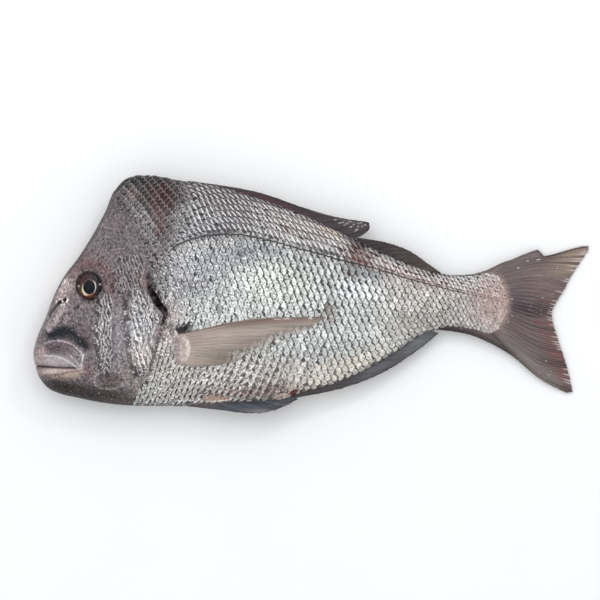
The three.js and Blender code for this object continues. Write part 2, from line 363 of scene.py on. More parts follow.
def along(rows, t, own=False):
    """Values at places t, counted in rows, of a smooth curve through each column of a table.

    With own, each place has a table of its own."""
    rows = np.asarray(rows, float)
    last = len(rows) - 1
    row = np.minimum(np.floor(t).astype(int), last - 1)
    f = (t - row)[..., None]
    stops = [np.clip(row + step, 0, last) for step in (-1, 0, 1, 2)]
    p0, p1, p2, p3 = (rows[stop, np.arange(len(t))] if own else rows[stop] for stop in stops)
    start = (p2 - p0) / 2
    end = (p3 - p1) / 2
    rise = p2 - p1
    return p1 + f * (start + f * (3 * rise - 2 * start - end + f * (start + end - 2 * rise)))


def ease(value, low, high):
    """Rises softly from 0 at low to 1 at high."""
    share = np.clip((value - low) / (high - low), 0, 1)
    return share * share * (3 - 2 * share)


def bell(value):
    """1 at zero, and soon nothing on either side of it."""
    return np.exp(-(value**2))


def tapered(share, run):
    """1 along a line, fading over a run at each of its ends."""
    return ease(share, 0, run) * (1 - ease(share, 1 - run, 1))


def within(x, y, cx, cy, rx, ry):
    """Distance from an oval's centre in sizes of the oval, 1 on its rim."""
    return np.hypot((x - cx) / rx, (y - cy) / ry)


def beside(line, x, y):
    """Distance of plan points from a line, positive behind it, and the share of its run."""
    nearest = np.full(np.shape(x), np.inf)
    share = np.zeros(np.shape(x))
    for i, ((ax, ay), (bx, by)) in enumerate(zip(line, line[1:])):
        length2 = (bx - ax) ** 2 + (by - ay) ** 2
        f = np.clip(((x - ax) * (bx - ax) + (y - ay) * (by - ay)) / length2, 0, 1)
        distance = np.hypot(x - ax - f * (bx - ax), y - ay - f * (by - ay))
        side = np.where((by - ay) * (ax - x) - (bx - ax) * (ay - y) >= 0, 1, -1)
        closer = distance < np.abs(nearest)
        nearest = np.where(closer, distance * side, nearest)
        share = np.where(closer, (i + f) / (len(line) - 1), share)
    return nearest, share


def middle_plane(x):
    """Height of the fish's middle plane, in which its single fins stand."""
    ribs = np.array(RIBS)
    start, height = TAIL_START
    behind = height - TAIL_DROOP * (x - start)
    return np.where(x > start, behind, np.interp(x, ribs[:, 0], ribs[:, 5]))


def dark_and_shaded_edge_share(x, z):
    """How near a point is to the upper or lower edge, 1 on it, with its darker skin and painted
    shade.
    """
    ribs = np.array(RIBS)
    stretch = np.maximum(1, SLIM_BODY / np.maximum(1, np.interp(x, ribs[:, 0], ribs[:, 4])))
    return 1 - ease(np.abs(z - middle_plane(x)) * stretch, *DARK_EDGE)


def relief(x, y):
    """How far the head's bones lift the skin off the plain form, at plan points."""
    distance, share = beside(COVER_EDGE, x, y)
    plate = COVER_LIFT * np.exp(np.minimum(0, distance) / COVER_SLOPE)
    hollow = -HOLLOW_DEPTH * np.exp(np.minimum(0, -distance) / HOLLOW_WIDTH)
    step = ease(distance, -COVER_STEP, COVER_STEP)
    lift = tapered(share, COVER_ENDS) * (plate + (hollow - plate) * step)
    for *oval, height in BULGES:
        lift = lift + height * bell(within(x, y, *oval))
    from_eye = np.hypot(x - EYE[0], y - EYE[1])
    return lift + BROW_LIFT * bell((from_eye - BROW_RADIUS) / BROW_WIDTH)


def skin(t, plain, side):
    """Points of the skin at ribs t and shares plain of the way from the back to the belly."""
    back_x, back_y, belly_x, belly_y, half, height = np.moveaxis(along(RIBS, t), -1, 0)
    half = half * np.sqrt(1 - np.maximum(0, 1 - t / ROUND_RIBS) ** 2)
    share = plain ** (math.log(WIDEST_SHARE) / math.log(0.5))
    x = back_x + share * (belly_x - back_x)
    y = back_y + share * (belly_y - back_y)
    away = half * (4 * plain * (1 - plain)) ** FULLNESS
    away = away + relief(x, y) * ease(away, *RELIEF_FADE)
    return np.stack([x, y, np.maximum(0, height + side * away)], -1)


def rib_of(x, y):
    """The rib through each plan point, and the plain share along it, found by halving."""
    low = np.zeros(np.shape(x))
    high = np.full(np.shape(x), len(RIBS) - 1.0)
    for _ in range(26):
        t = (low + high) / 2
        back_x, back_y, belly_x, belly_y, _, _ = np.moveaxis(along(RIBS, t), -1, 0)
        behind = (x - belly_x) * (back_y - belly_y) - (y - belly_y) * (back_x - belly_x) > 0
        low = np.where(behind, t, low)
        high = np.where(behind, high, t)
    back_x, back_y, belly_x, belly_y, _, _ = np.moveaxis(along(RIBS, low), -1, 0)
    run = np.hypot(x - back_x, y - back_y) / np.hypot(belly_x - back_x, belly_y - back_y)
    return low, np.minimum(1, run) ** (math.log(0.5) / math.log(WIDEST_SHARE))


def flank(x, y, side):
    """Height of the skin at plan points."""
    return skin(*rib_of(np.asarray(x, float), np.asarray(y, float)), side)[..., 2]


def gill_opening(share):
    """Half the width of the gill slit at a share of its length."""
    narrowed = 1 - GILL_NARROWED * ease(share, *GILL_NARROWING)
    rounded = np.sin(np.pi * np.clip(share, 0, 1)) ** GILL_ROUNDNESS
    return GILL_WIDTH / 2 * rounded * narrowed + GILL_LEAST


def carving(x, y):
    """The head's fine relief, outward from the skin: folds, lips, eye opening, nostrils, slit."""
    lift = np.zeros(np.shape(x))
    for line, height, width in FOLDS:
        distance, share = beside(line, x, y)
        ends = 1 if line is MOUTH else tapered(share, FOLD_ENDS)
        lift = lift + height * ends * bell(distance / width)
    ring = within(x, y, *CHIN_OVAL)
    sharp, height = CHIN_RIDGE
    lift = lift + height * bell((ring - 1) * sharp) - CHIN_DISH * (1 - ease(ring, 0.6, 1))
    orbit = within(x, y, *EYE, *ORBIT)
    at, sharp, height = ORBIT_RIM
    lift = lift - ORBIT_DEPTH * (1 - ease(orbit, *ORBIT_WALL))
    lift = lift + height * bell((orbit - at) * sharp)
    at, sharp, height = NOSTRIL_RIM
    for nx, ny, radius in NOSTRILS:
        away = np.hypot(x - nx, (y - ny) * NOSTRIL_SQUASH) / radius
        lift = lift - NOSTRIL_DEPTH * (1 - ease(away, 0.2, 1)) + height * bell((away - at) * sharp)
    distance, share = beside(GILL_LINE, x, y)
    inside = (share > 0) & (share < 1)
    return lift - GILL_DEPTH * (1 - ease(np.abs(distance) / gill_opening(share), 0.4, 1)) * inside


def coordinates(piece):
    places = np.empty(len(piece.data.vertices) * 3, np.float32)
    piece.data.vertices.foreach_get("co", places)
    return places.reshape(-1, 3).astype(float)


def set_coordinates(piece, places):
    """Puts a piece's vertices at places in millimetres, and never past the fish's own box."""
    low, high = np.array(cad_box[0]), np.array(cad_box[1])
    kept = np.clip(places * MM, low, high)
    piece.data.vertices.foreach_set("co", kept.astype(np.float32).ravel())
    piece.data.update()


def globe(name, segments, rings):
    """A closed unit ball, and its vertices: a grid wrapped round and welded at seam and poles."""
    bpy.ops.mesh.primitive_grid_add(x_subdivisions=segments, y_subdivisions=rings, size=1)
    made = bpy.context.object
    made.name = name
    sheet = coordinates(made)
    turn, fall = 2 * math.pi * sheet[:, 0], math.pi * (0.5 - sheet[:, 1])
    ball = np.stack([np.sin(fall) * np.cos(turn), np.sin(fall) * np.sin(turn), np.cos(fall)], -1)
    made.data.vertices.foreach_set("co", ball.astype(np.float32).ravel())
    bpy.ops.object.mode_set(mode="EDIT")
    bpy.ops.mesh.remove_doubles(threshold=0.00001)
    bpy.ops.object.mode_set(mode="OBJECT")
    return made, coordinates(made)


def bearings(ball):
    """Each point's share of the way from a ball's upper pole to its lower one, and its turn."""
    return np.arccos(np.clip(ball[:, 2], -1, 1)) / math.pi, np.arctan2(ball[:, 1], ball[:, 0])


def normals(piece):
    found = np.empty(len(piece.data.vertices) * 3, np.float32)
    piece.data.vertex_normals.foreach_get("vector", found)
    return found.reshape(-1, 3).astype(float)


def paint(piece, name, colours):
    """Writes a colour for each vertex."""
    layer = piece.data.color_attributes.new(name, "FLOAT_COLOR", "POINT")
    layer.data.foreach_set("color", np.clip(colours, 0, 1).astype(np.float32).ravel())


def cover(colours, mask, colour):
    """Lays one colour over others, as thickly as a mask says."""
    return colours + mask[:, None] * (np.array(linear(*colour)) - colours)


def turned_by(degrees):
    return math.cos(math.radians(degrees)), math.sin(math.radians(degrees))


def soft_oval(x, y, cx, cy, rx, ry, turn):
    """1 in the middle of a turned oval, fading past its rim."""
    c, s = turned_by(turn)
    u = ((x - cx) * c + (y - cy) * s) / rx
    v = ((y - cy) * c - (x - cx) * s) / ry
    return np.exp(-((u * u + v * v) ** 1.5))


def dab(colours, x, y, patches):
    """Lays soft oval patches of colour: x, y, reach along and across, turn, colour, strength."""
    for *oval, colour, strength in patches:
        colours = cover(colours, strength * soft_oval(x, y, *oval), colour)
    return colours


def draw(colours, x, y, strokes):
    """Draws soft lines of colour: points, colour, half width, strength."""
    for line, colour, width, strength in strokes:
        distance, share = beside(line, x, y)
        ends = ease(share, -0.01, 0.06) * (1 - ease(share, 0.94, 1.01))
        colours = cover(colours, strength * bell(distance / width) * ends, colour)
    return colours


def toned(colour, x, y, patches=(), strokes=()):
    """One colour at plan points, with patches laid on it, and then strokes."""
    plain = np.tile(np.array(linear(*colour)), (len(x), 1))
    return draw(dab(plain, x, y, patches), x, y, strokes)


HEAD_SKIN = (116, 106, 108)
# The dark of the edges: darker skin, and painted shade where the body turns away from the light.
EDGE_DARK_AND_SHADE_TINT = (30, 25, 27)
EDGE_STRENGTH = 0.85
EDGE_START = (1.2, 3.0)  # the ribs over which the dark edge starts, behind the snout
CHIN_TINT = (172, 160, 158)
LID_TINT = (66, 52, 56)
# Painted shade inside the nostril pits: its colour, and the radii over which it ends.
NOSTRIL_SHADE_TINT = (24, 20, 22)
NOSTRIL_SHADE_REACH = (0.5, 1.1)  # radii over which that ends
# Painted shade deep in the gill slit, and the half widths over which it ends.
SLIT_SHADE_TINT = (13, 10, 12)
SLIT_SHADE_REACH = (0.85, 1.3)  # half widths of the slit over which that ends
SLIT_RIM = (168, 124, 124)
SLIT_RIM_WIDTH = 2.4
SLIT_RIM_STRENGTH = 0.6
LIP_GRAIN = 0.3  # strength of the skin's grain on the lips, where 1 is that of the cheeks
LIP_REACH = (8, 14)  # distances from the lips' bed over which that ends
# Patches of the head's skin: centre x and y, reach along and across, turn, colour, strength.
HEAD_PATCHES = [
    (-178, 92, 40, 24, 30, (92, 83, 84), 0.85),
    (-180, 114, 26, 7, 20, (48, 44, 45), 0.9),
    (-205, 50, 22, 34, 35, (119, 109, 110), 0.8),
    (-176, 40, 16, 34, 25, (106, 96, 98), 0.85),
    (-232, 30, 16, 6, 55, (100, 76, 79), 0.8),
    (-208, 24, 12, 8, -45, (117, 96, 98), 0.75),
    (-202, 6, 6, 16, 8, (108, 88, 89), 0.8),
    (-225, 27, 14, 6, 20, (106, 84, 87), 0.7),
    (-246, 8, 8, 20, -25, (172, 155, 153), 0.95),
    (-250, -20, 12, 14, -30, (136, 125, 126), 0.7),
    (-232, -24, 16, 14, 40, (120, 110, 113), 0.7),
    (-250, -38, 15, 7.5, 8, (34, 36, 43), 1.0),
    (-229, -48, 9, 7, -35, (38, 36, 40), 0.9),
    (-221, -40, 9, 16, 20, (92, 80, 80), 0.75),
    (-252, -53, 17, 5.5, -6, (96, 82, 87), 0.95),
    (-236, -58, 6, 6, -30, (132, 121, 124), 0.8),
    (-231, -63, 4, 8, 0, (148, 138, 140), 0.7),
    (-255, -67, 18, 5.5, -4, (184, 174, 175), 0.95),
    (-271, -60, 6, 9, -15, (172, 152, 150), 0.9),
    (-255, -77, 20, 4, 3, (196, 178, 174), 0.95),
    (-242, -79.5, 20, 5, 10, (182, 162, 150), 0.9),
    (-248, -94, 30, 10, -12, (48, 40, 36), 0.98),
    (-215, -103, 40, 12, -3, (48, 40, 38), 0.98),
    (-180, -106, 30, 6, 0, (80, 69, 65), 0.85),
    (-222, -76, 5, 7, 0, (98, 74, 76), 0.7),
    (-205, -44, 12, 34, 0, (141, 134, 134), 0.85),
    (-192, -45, 5, 34, -2, (140, 134, 138), 0.9),
    (-170, -40, 14, 34, 0, (182, 180, 181), 0.95),
    (-166, -62, 16, 14, 0, (188, 176, 172), 0.9),
    (-184, -80, 12, 8, 0, (142, 128, 128), 0.8),
    (-202, -86, 13, 7.5, 0, (92, 80, 79), 0.9),
    (-164, -92, 16, 14, -40, (150, 142, 136), 0.8),
    (-168, 14, 10, 14, 20, (112, 94, 94), 0.85),
    (-182, 22, 13, 18, 10, (98, 87, 89), 0.5),
    (-154, -42, 6, 20, 10, (140, 128, 130), 0.6),
    (-145, -38, 8, 18, 0, (152, 138, 139), 0.8),
    (-138, 0, 10, 40, 10, (138, 128, 130), 0.8),
    (-150, -84, 24, 24, 0, (146, 138, 132), 0.8),
    (-129.5, -35, 12, 5.6, 0, (20, 19, 20), 0.97),
]
# Lines on the head's skin: points in plan, colour, half width, strength.
HEAD_STROKES = [
    (BROW, (106, 82, 84), 4.4, 0.8),
    (MOUSTACHE, (24, 26, 32), 4.6, 0.97),
    # A painted highlight along the wet fold of the snout.
    ([[-264, -37], [-254, -23], [-246, -12]], (196, 180, 179), 2.6, 0.6),
    ([[-226, -9], [-236, -19], [-248, -30]], (158, 144, 145), 2.4, 0.55),
    ([[-251, -7], [-257, -14], [-263, -22]], (30, 25, 28), 1.8, 0.85),
    # Painted shade in the mouth's groove.
    (MOUTH, (82, 58, 58), 0.9, 0.95),
    ([[-268, -56], [-256, -54], [-246, -55], [-238, -60]], (84, 68, 74), 1.2, 0.7),
    (LIP_LINE, (226, 218, 220), 0.8, 0.85),
    (JAW_RIM, (196, 186, 190), 0.8, 0.7),
    ([[-228, -59], [-229, -66], [-230, -73]], (222, 214, 216), 0.8, 0.8),
    ([[-242, -60], [-236, -66], [-230, -75]], (214, 204, 208), 0.6, 0.7),
    (LOWER_LIP_LINE, (120, 92, 88), 0.9, 0.8),
    # Dark lines along the grooves of the cheek, the cover's foot, the throat and below the eye:
    # painted shade in these creases.
    (CHEEK_FRONT, (88, 74, 80), 1.2, 0.7),
    (CHEEK_REAR, (58, 49, 54), 1.5, 0.9),
    (COVER_FOOT, (96, 80, 84), 1.1, 0.7),
    (THROAT_FOLD, (84, 74, 72), 1.3, 0.7),
    (EYE_CREASE, (84, 76, 82), 1.2, 0.7),
    (COVER_RIM, (50, 41, 44), 1.5, 0.92),
    ([[-256, -10], [-251, -8], [-244, -4.5]], (38, 30, 33), 2.6, 0.8),
    *((glint, (250, 240, 236), 0.7, 0.97) for glint in NOSTRIL_GLINTS),
    # Painted glints on the wet snout, above the nostrils.
    ([[-249, 9], [-247, 13], [-244, 15]], (238, 218, 212), 1.0, 0.8),
    ([[-251, -1], [-249, 4]], (226, 202, 198), 1.0, 0.7),
]


def head_colours(x, y):
    """The head's colours at plan points. The fourth value is the strength of the skin's grain."""
    colours = toned(HEAD_SKIN, x, y, HEAD_PATCHES, HEAD_STROKES)
    sharp, strength = CHIN_RIDGE_TINT
    ridge = strength * bell((within(x, y, *CHIN_OVAL) - 1) * sharp)
    colours = cover(colours, ridge, CHIN_TINT)
    at, sharp, strength = LID_SHADE
    lid = strength * bell((within(x, y, *EYE, *ORBIT) - at) * sharp)
    colours = cover(colours, lid, LID_TINT)
    # Painted shade inside the nostril pits.
    for nx, ny, radius in NOSTRILS:
        away = np.hypot(x - nx, (y - ny) * NOSTRIL_SQUASH) / radius
        colours = cover(colours, 1 - ease(away, *NOSTRIL_SHADE_REACH), NOSTRIL_SHADE_TINT)
    distance, share = beside(GILL_LINE, x, y)
    opening = gill_opening(share)
    inside = (share > 0) * (share < 1)
    flesh = bell(np.maximum(0, distance - opening) / SLIT_RIM_WIDTH) * (distance > 0)
    colours = cover(colours, SLIT_RIM_STRENGTH * flesh * inside, SLIT_RIM)
    # Painted shade deep in the slit, where the skin's grain is left out too.
    dark = (1 - ease(np.abs(distance) / opening, *SLIT_SHADE_REACH)) * inside
    colours = cover(colours, dark, SLIT_SHADE_TINT)
    smooth, _ = beside(LIP_BED, x, y)
    colours[:, 3] = (1 - dark) * (LIP_GRAIN + (1 - LIP_GRAIN) * ease(np.abs(smooth), *LIP_REACH))
    return colours


head, ball = globe("head", segments=480, rings=172)
fall, turn = bearings(ball)
half_turn = np.abs(turn) / math.pi
plain = 0.5 * (1 - np.cos(math.pi * half_turn)) * 0.5 + 0.5 * half_turn
side = np.where(turn >= 0, -1, 1)
t = HEAD_END * fall**HEAD_CROWDING
places = skin(t, plain, side)
places[fall > 0.9999] = HEAD_TIP
set_coordinates(head, places)
outward = normals(head)
shown = ease(np.abs(places[:, 2] - along(RIBS, t)[:, 5]), *EDGE_FADE)
lift = carving(places[:, 0], places[:, 1]) * (shown + (1 - shown) * EDGE_RELIEF)
under = places[:, 0] - np.interp(places[:, 1], *SCALED_FRONT)
lift = lift - SKIN_SUNK * ease(under, *SUNK_OVER)
places = places + outward * lift[:, None]
places[:, 2] = np.maximum(places[:, 2], 0)
set_coordinates(head, places)
bpy.ops.object.shade_smooth()
colours = head_colours(places[:, 0], places[:, 1])
from_middle = np.abs(places[:, 2] - along(RIBS, t)[:, 5])
# Darker skin and painted shade towards the head's upper and lower edges.
dark_and_shaded_edge = EDGE_STRENGTH * (1 - ease(from_middle, *DARK_EDGE)) * ease(t, *EDGE_START)
paint(head, "skin_colour", cover(colours, dark_and_shaded_edge, EDGE_DARK_AND_SHADE_TINT))
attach(head, "root")
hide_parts("fish")


def wet(name, coat, rough, **more):
    """A wet surface's material: the strength and the roughness of its coat of water and slime."""
    return Finish(name, {"Coat Weight": coat, "Coat Roughness": rough, "IOR": WET_IOR, **more})


# The skin's finish: a cloudy tone, grit that is combed a little, pale and dark specks, and slime.
slime = wet("wet_bare_skin", 0.2, 0.12)
spot = slime.place()
cloud = slime.noise(spot, 70, 4)
blotch = slime.noise(spot, 210, 3, 0.6)
combed = slime.add("ShaderNodeMapping", {}, {0: spot, 2: (0, 0, 0.6), 3: (1, 0.75, 1)})
grit = slime.noise(combed, 500, 2, 0.6) - 0.5
speck = slime.noise(spot, 520, 1, 0.5)
dry = slime.colour("skin_colour", "Alpha")
glow = (grit * 3.5 + (blotch - 0.5) * 1.5) * dry + (cloud - 0.5) * 0.8 + 0.98
tinted = slime.mix(1.0, slime.colour("skin_colour"), glow.at_least(0.1), "MULTIPLY")
tinted = slime.mix(slime.ease(speck, 0.69, 0.75) * dry * 0.5, tinted, linear(226, 220, 222))
tinted = slime.mix(slime.ease(speck, 0.35, 0.28) * 0.6, tinted, linear(34, 29, 31))
slime.feed("Base Color", tinted)
slime.feed("Roughness", 0.3 + cloud * 0.25)
slime.bump(grit * 0.8 + blotch * 0.9, 0.0005)
head.data.materials.append(slime.material)

# ---------------------------------------------------------------------------------------------
# The trunk: the dark skin under the scales, from the shoulder to where the flesh ends on the tail.
# It shows only between scales, at the fins' roots and behind the gill cover.
TRUNK_START = 9.3
UNDER_HEAD = 0.8  # how much deeper the trunk's front lies, under the head's skin
TRUNK_TIP = [-140, 0, 33]  # inside the head, where the trunk's skin closes
TRUNK_SKIN = (66, 62, 63)
TRUNK_GRAIN = 0.4
TRUNK_SMOOTH = (4, 8)  # distances from the gill slit over which the grain starts
SHOWN_RIBS = (20.5, 22)  # over these the scales end, and the skin comes up to its full height
HIDDEN_RIBS = (10.2, 10.9)  # over these the trunk comes out from under the head's skin
SLIT_BED = (3, 1.4)  # under the gill slit, how much deeper and wider the trunk is dented
TRUNK_STROKES = [
    # Painted shade in the gill slit's gap, on the trunk under it.
    (GILL_LINE, (10, 8, 10), 7, 0.99),
    ([[-147, -33], [-150, -46], [-156, -62], [-163, -80]], (60, 50, 54), 1.4, 0.8),
]
TRUNK_PATCHES = [
    (-60, -84, 120, 30, 0, (104, 96, 92), 0.85),
    (-60, -108, 110, 8, 0, (110, 95, 90), 0.8),
    (-147, -38, 12, 30, 0, (140, 127, 128), 0.95),
    (-158, -80, 14, 22, 20, (132, 122, 118), 0.9),
    (-160, 30, 16, 30, 20, (112, 98, 100), 0.9),
    (-128.5, -35, 13, 7, 0, (20, 19, 20), 0.99),
    (100, 40, 60, 16, -30, (90, 72, 72), 0.8),
    (188, -8, 14, 34, 0, (168, 142, 137), 0.9),
]

trunk, ball = globe("trunk", segments=260, rings=130)
fall, turn = bearings(ball)
plain = 0.5 * (1 - np.cos(turn))
side = np.where(turn >= 0, -1, 1)
t = TRUNK_START + (len(RIBS) - 1 - TRUNK_START) * fall
places = skin(t, plain, side)
places[fall < 0.0001] = TRUNK_TIP
set_coordinates(trunk, places)
sunk = SKIN_SUNK * (1 - ease(t, *SHOWN_RIBS)) + UNDER_HEAD * (1 - ease(t, *HIDDEN_RIBS))
slit, _ = beside(GILL_LINE, places[:, 0], places[:, 1])
sunk = sunk + (GILL_DEPTH + SLIT_BED[0]) * bell(slit / (SLIT_BED[1] * GILL_WIDTH))
places = places - normals(trunk) * sunk[:, None]
places[:, 2] = np.maximum(places[:, 2], 0.02)
set_coordinates(trunk, places)
bpy.ops.object.shade_smooth()
colours = toned(TRUNK_SKIN, *places[:, :2].T, TRUNK_PATCHES, TRUNK_STROKES)
colours[:, 3] = TRUNK_GRAIN * ease(np.abs(slit), *TRUNK_SMOOTH)
paint(trunk, "skin_colour", colours)
trunk.data.materials.append(slime.material)
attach(trunk, "root")
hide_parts("fish")

# ---------------------------------------------------------------------------------------------
# The scales: thin horny plates in slanting rows, each rooted in the skin at its front and free at
# its rear edge, where it lies over the next ones. The rows follow the lateral line.
LATERAL_LINE = [
    [-200, -10],
    [-170, 20],
    [-146, 38],
    [-135, 49],
    [-120, 54.5],
    [-107, 58],
    [-89, 59.5],
    [-70, 59],
    [-52, 55.4],
    [-33, 51],
    [-15, 45.6],
    [7, 40.3],
    [26, 34.5],
    [61, 26.3],
    [99, 14.4],
    [130, 6.2],
    [160, -1],
    [200, -7],
]
# How far scales are apart along a row, and how far the rows are: plan x, and the distance there.
SCALE_PITCH = ([-200, -150, -90, -30, 40, 120, 165, 195], [4.7, 5.2, 6.1, 6.7, 6.9, 6.2, 4.2, 3.4])
ROW_SPACING = ([-200, -150, -90, -40, 25, 125, 165, 195], [6.8, 7.4, 8.4, 8.9, 8.9, 4.9, 4.2, 3.5])
# Where the last scales root: plan y, and the x there.
SCALED_REAR = (
    [-41, -34, -26, -16, -6, 4, 14, 20, 26],
    [185, 191.5, 196, 198.5, 199, 197, 193, 188.5, 183],
)
LAST_SCALES = 4  # how far past that line the last ones reach
ROWS = range(-19, 29)  # counted from the lateral line, and below zero above it
ROW_MARGIN = 0.35  # of the first and last row off the fish's edges
BACK_MARGIN = (0.3, -95, -65)  # how much nearer the back's edge they come, and over which x
AXIL = (-128.5, -35.6, 10.5, 6.8)  # the bare pocket over the breast fin's root, with half sizes
# The size that the plate is modelled in, as its pitch along the row and the spacing of the rows.
REFERENCE_PITCH = 7.35
REFERENCE_ROW = 8.9
PLATE_MIDDLE = -2.9  # of the oval plate, ahead of the middle of what shows of it
PLATE_HALF_LENGTH = 7.3
PLATE_HALF_WIDTH = 8.6
PLATE_POINT = (1.4, 2.6)  # below and above the lateral line: 2 is an oval, less is more pointed
PLATE_SLOPE = 0.06
PLATE_ROOT = -0.62
PLATE_CROWN = 0.14
PLATE_INSET = 0.36  # of the inner ring of corners, which the crown stands on
PLATE_THICKNESS = 0.25
PLATE_CORNERS = 14
CHART_SPAN = 20  # of the plates' own UV map, which is centred on 0.5
BACK_ROWS = 0.81  # the rows above the lateral line, beside those below it
PRESSED = 0.6  # below this height the table squashes the plates, without closing them
BACK_PITCH = ([-140, -112], [1, 0.82])  # the same of the scales in a row, behind the nape's hump
BACK_SLANT = (40, -1.2, -0.4)  # degrees, and the rows over which it ends
BELLY_SLANT = (-15, (3, 16), (-30, 60))  # the rows over which it starts, the x over which it ends
FRONT_SLANT = -24  # of the scales towards the belly fins
FRONT_ROWS = (12.6, 15)  # the rows over which these start
FRONT_END = (-80, -25)  # the x over which they end
UPRIGHT = (-113, -4, 15, 2.6)  # x and row, with half sizes, where the back's slant is less
UPRIGHT_SHARE = 0.45
# The skin is first measured at these rows and these x, so that plates can be laid on it quickly.
HOOP_ROWS = np.arange(-20, 30, 0.25)
HOOP_X = np.arange(-206, 200.5, 2.0)
HOOP_RIBS = np.linspace(4, len(RIBS) - 1, 420)
HOOP_PLACES = 260
HOOP_MARGIN = 70  # places by which one flank's hoop runs on over the other flank


def shingle(name, places, charts, face, shade, side):
    """Joins many plates into one piece, from each one's corners, their places in the plate's own
    chart, and its face and shade colours."""
    number, corners = places.shape[:2]
    pressed = PRESSED * np.exp(np.minimum(0, places[..., 2] / PRESSED - 1))
    places[..., 2] = np.maximum(places[..., 2], pressed)
    outward = [one[::-1] for one in plate_faces] if side == 1 else plate_faces
    faces = [[k * corners + v for v in one] for k in range(number) for one in outward]
    mesh = bpy.data.meshes.new(name)
    mesh.from_pydata(np.zeros((number * corners, 3)), [], faces)
    made = bpy.data.objects.new(name, mesh)
    bpy.context.scene.collection.objects.link(made)
    set_coordinates(made, places.reshape(-1, 3))
    paint(made, "face_colour", np.repeat(face, corners, axis=0))
    paint(made, "shade_colour", np.repeat(shade, corners, axis=0))
    corner = np.array([v for one in faces for v in one])
    chart = charts.reshape(-1, 2)[corner] / CHART_SPAN + 0.5
    mesh.uv_layers.new(name="plate_chart").data.foreach_set("uv", chart.astype(np.float32).ravel())
    bpy.context.view_layer.objects.active = made
    made.select_set(True)
    bpy.ops.object.shade_smooth_by_angle(angle=math.radians(50))
    made.select_set(False)
    made.data.materials.append(silver.material)
    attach(made, "root")
    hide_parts("fish")


def thicken():
    """Gives the flat piece at hand a lower side, one unit down, with all its faces outward."""
    bpy.ops.object.mode_set(mode="EDIT")
    bpy.ops.mesh.select_all(action="SELECT")
    bpy.ops.mesh.extrude_region_move(TRANSFORM_OT_translate={"value": (0, 0, -1)})
    bpy.ops.mesh.select_all(action="SELECT")
    bpy.ops.mesh.normals_make_consistent(inside=False)
    bpy.ops.object.mode_set(mode="OBJECT")


def plate():
    """One scale as modelled: a rounded plate with a raised middle, in the reference size.

    Gives its corners in both shapes, as ahead, across and height, and the faces that join them."""
    bpy.ops.mesh.primitive_circle_add(vertices=PLATE_CORNERS, radius=1, fill_type="NGON")
    made = bpy.context.object
    thicken()
    for face in made.data.polygons:
        face.select = face.normal.z > 0.9
    for edge in made.data.edges:
        edge.select = False
    for vertex in made.data.vertices:
        vertex.select = vertex.co.z > -0.5
    bpy.ops.object.mode_set(mode="EDIT")
    bpy.ops.mesh.select_mode(type="FACE")
    bpy.ops.mesh.inset(thickness=PLATE_INSET)
    bpy.ops.mesh.poke()
    bpy.ops.mesh.select_mode(type="VERT")
    bpy.ops.object.mode_set(mode="OBJECT")
    round_places = coordinates(made)
    faces = [list(face.vertices) for face in made.data.polygons]
    bpy.data.objects.remove(made)
    angle = np.arctan2(round_places[:, 1], round_places[:, 0])
    out = np.hypot(round_places[:, 0], round_places[:, 1])
    shapes = []
    for point in PLATE_POINT:
        way = np.stack([np.cos(angle), np.sin(angle)])
        c, s = np.sign(way) * np.abs(way) ** (2 / point)
        ahead = c * out * PLATE_HALF_LENGTH + PLATE_MIDDLE
        from_root = ahead - PLATE_MIDDLE + PLATE_HALF_LENGTH
        height = PLATE_ROOT + PLATE_SLOPE * from_root + PLATE_CROWN * (1 - out**2)
        height = np.where(round_places[:, 2] < -0.5, height - PLATE_THICKNESS, height)
        shapes.append(np.stack([ahead, s * out * PLATE_HALF_WIDTH, height]))
    return np.array(shapes), faces


def measured(side):
    """The skin of a flank at each HOOP_X and HOOP_ROWS, as y and z, and its first and last row."""
    plain = 0.5 * (1 - np.cos(np.linspace(0, math.pi, HOOP_PLACES)))
    plain = np.broadcast_to(plain, (len(HOOP_RIBS), HOOP_PLACES))
    both = []
    for face in (side, -side):
        grid = skin(HOOP_RIBS[:, None], plain, face)
        hoops = np.empty((len(HOOP_X), HOOP_PLACES, 2))
        for a in range(HOOP_PLACES):
            for k in (0, 1):
                hoops[:, a, k] = np.interp(HOOP_X, grid[:, a, 0], grid[:, a, k + 1])
        both.append(hoops)
    near, far = both
    over_back, over_belly = far[:, HOOP_MARGIN:0:-1], far[:, -2 : -HOOP_MARGIN - 2 : -1]
    hoops = np.concatenate([over_back, near, over_belly], 1)
    flank_places = slice(HOOP_MARGIN, HOOP_MARGIN + HOOP_PLACES)
    skin_rows = np.empty((len(HOOP_X), len(HOOP_ROWS), 2))
    limits = np.empty((len(HOOP_X), 2))
    line_y = np.interp(HOOP_X, *np.array(LATERAL_LINE).T)
    for i, x in enumerate(HOOP_X):
        run = np.concatenate([[0], np.cumsum(np.hypot(*np.diff(hoops[i], axis=0).T))])
        zero = np.interp(-line_y[i], -hoops[i][flank_places, 0], run[flank_places])
        row = (run - zero) / np.interp(x, *ROW_SPACING)
        row = np.where(row < 0, row / BACK_ROWS, row)
        limits[i] = row[flank_places][[0, -1]]
        for k in (0, 1):
            skin_rows[i, :, k] = np.interp(HOOP_ROWS, row, hoops[i][:, k])
    return skin_rows, limits


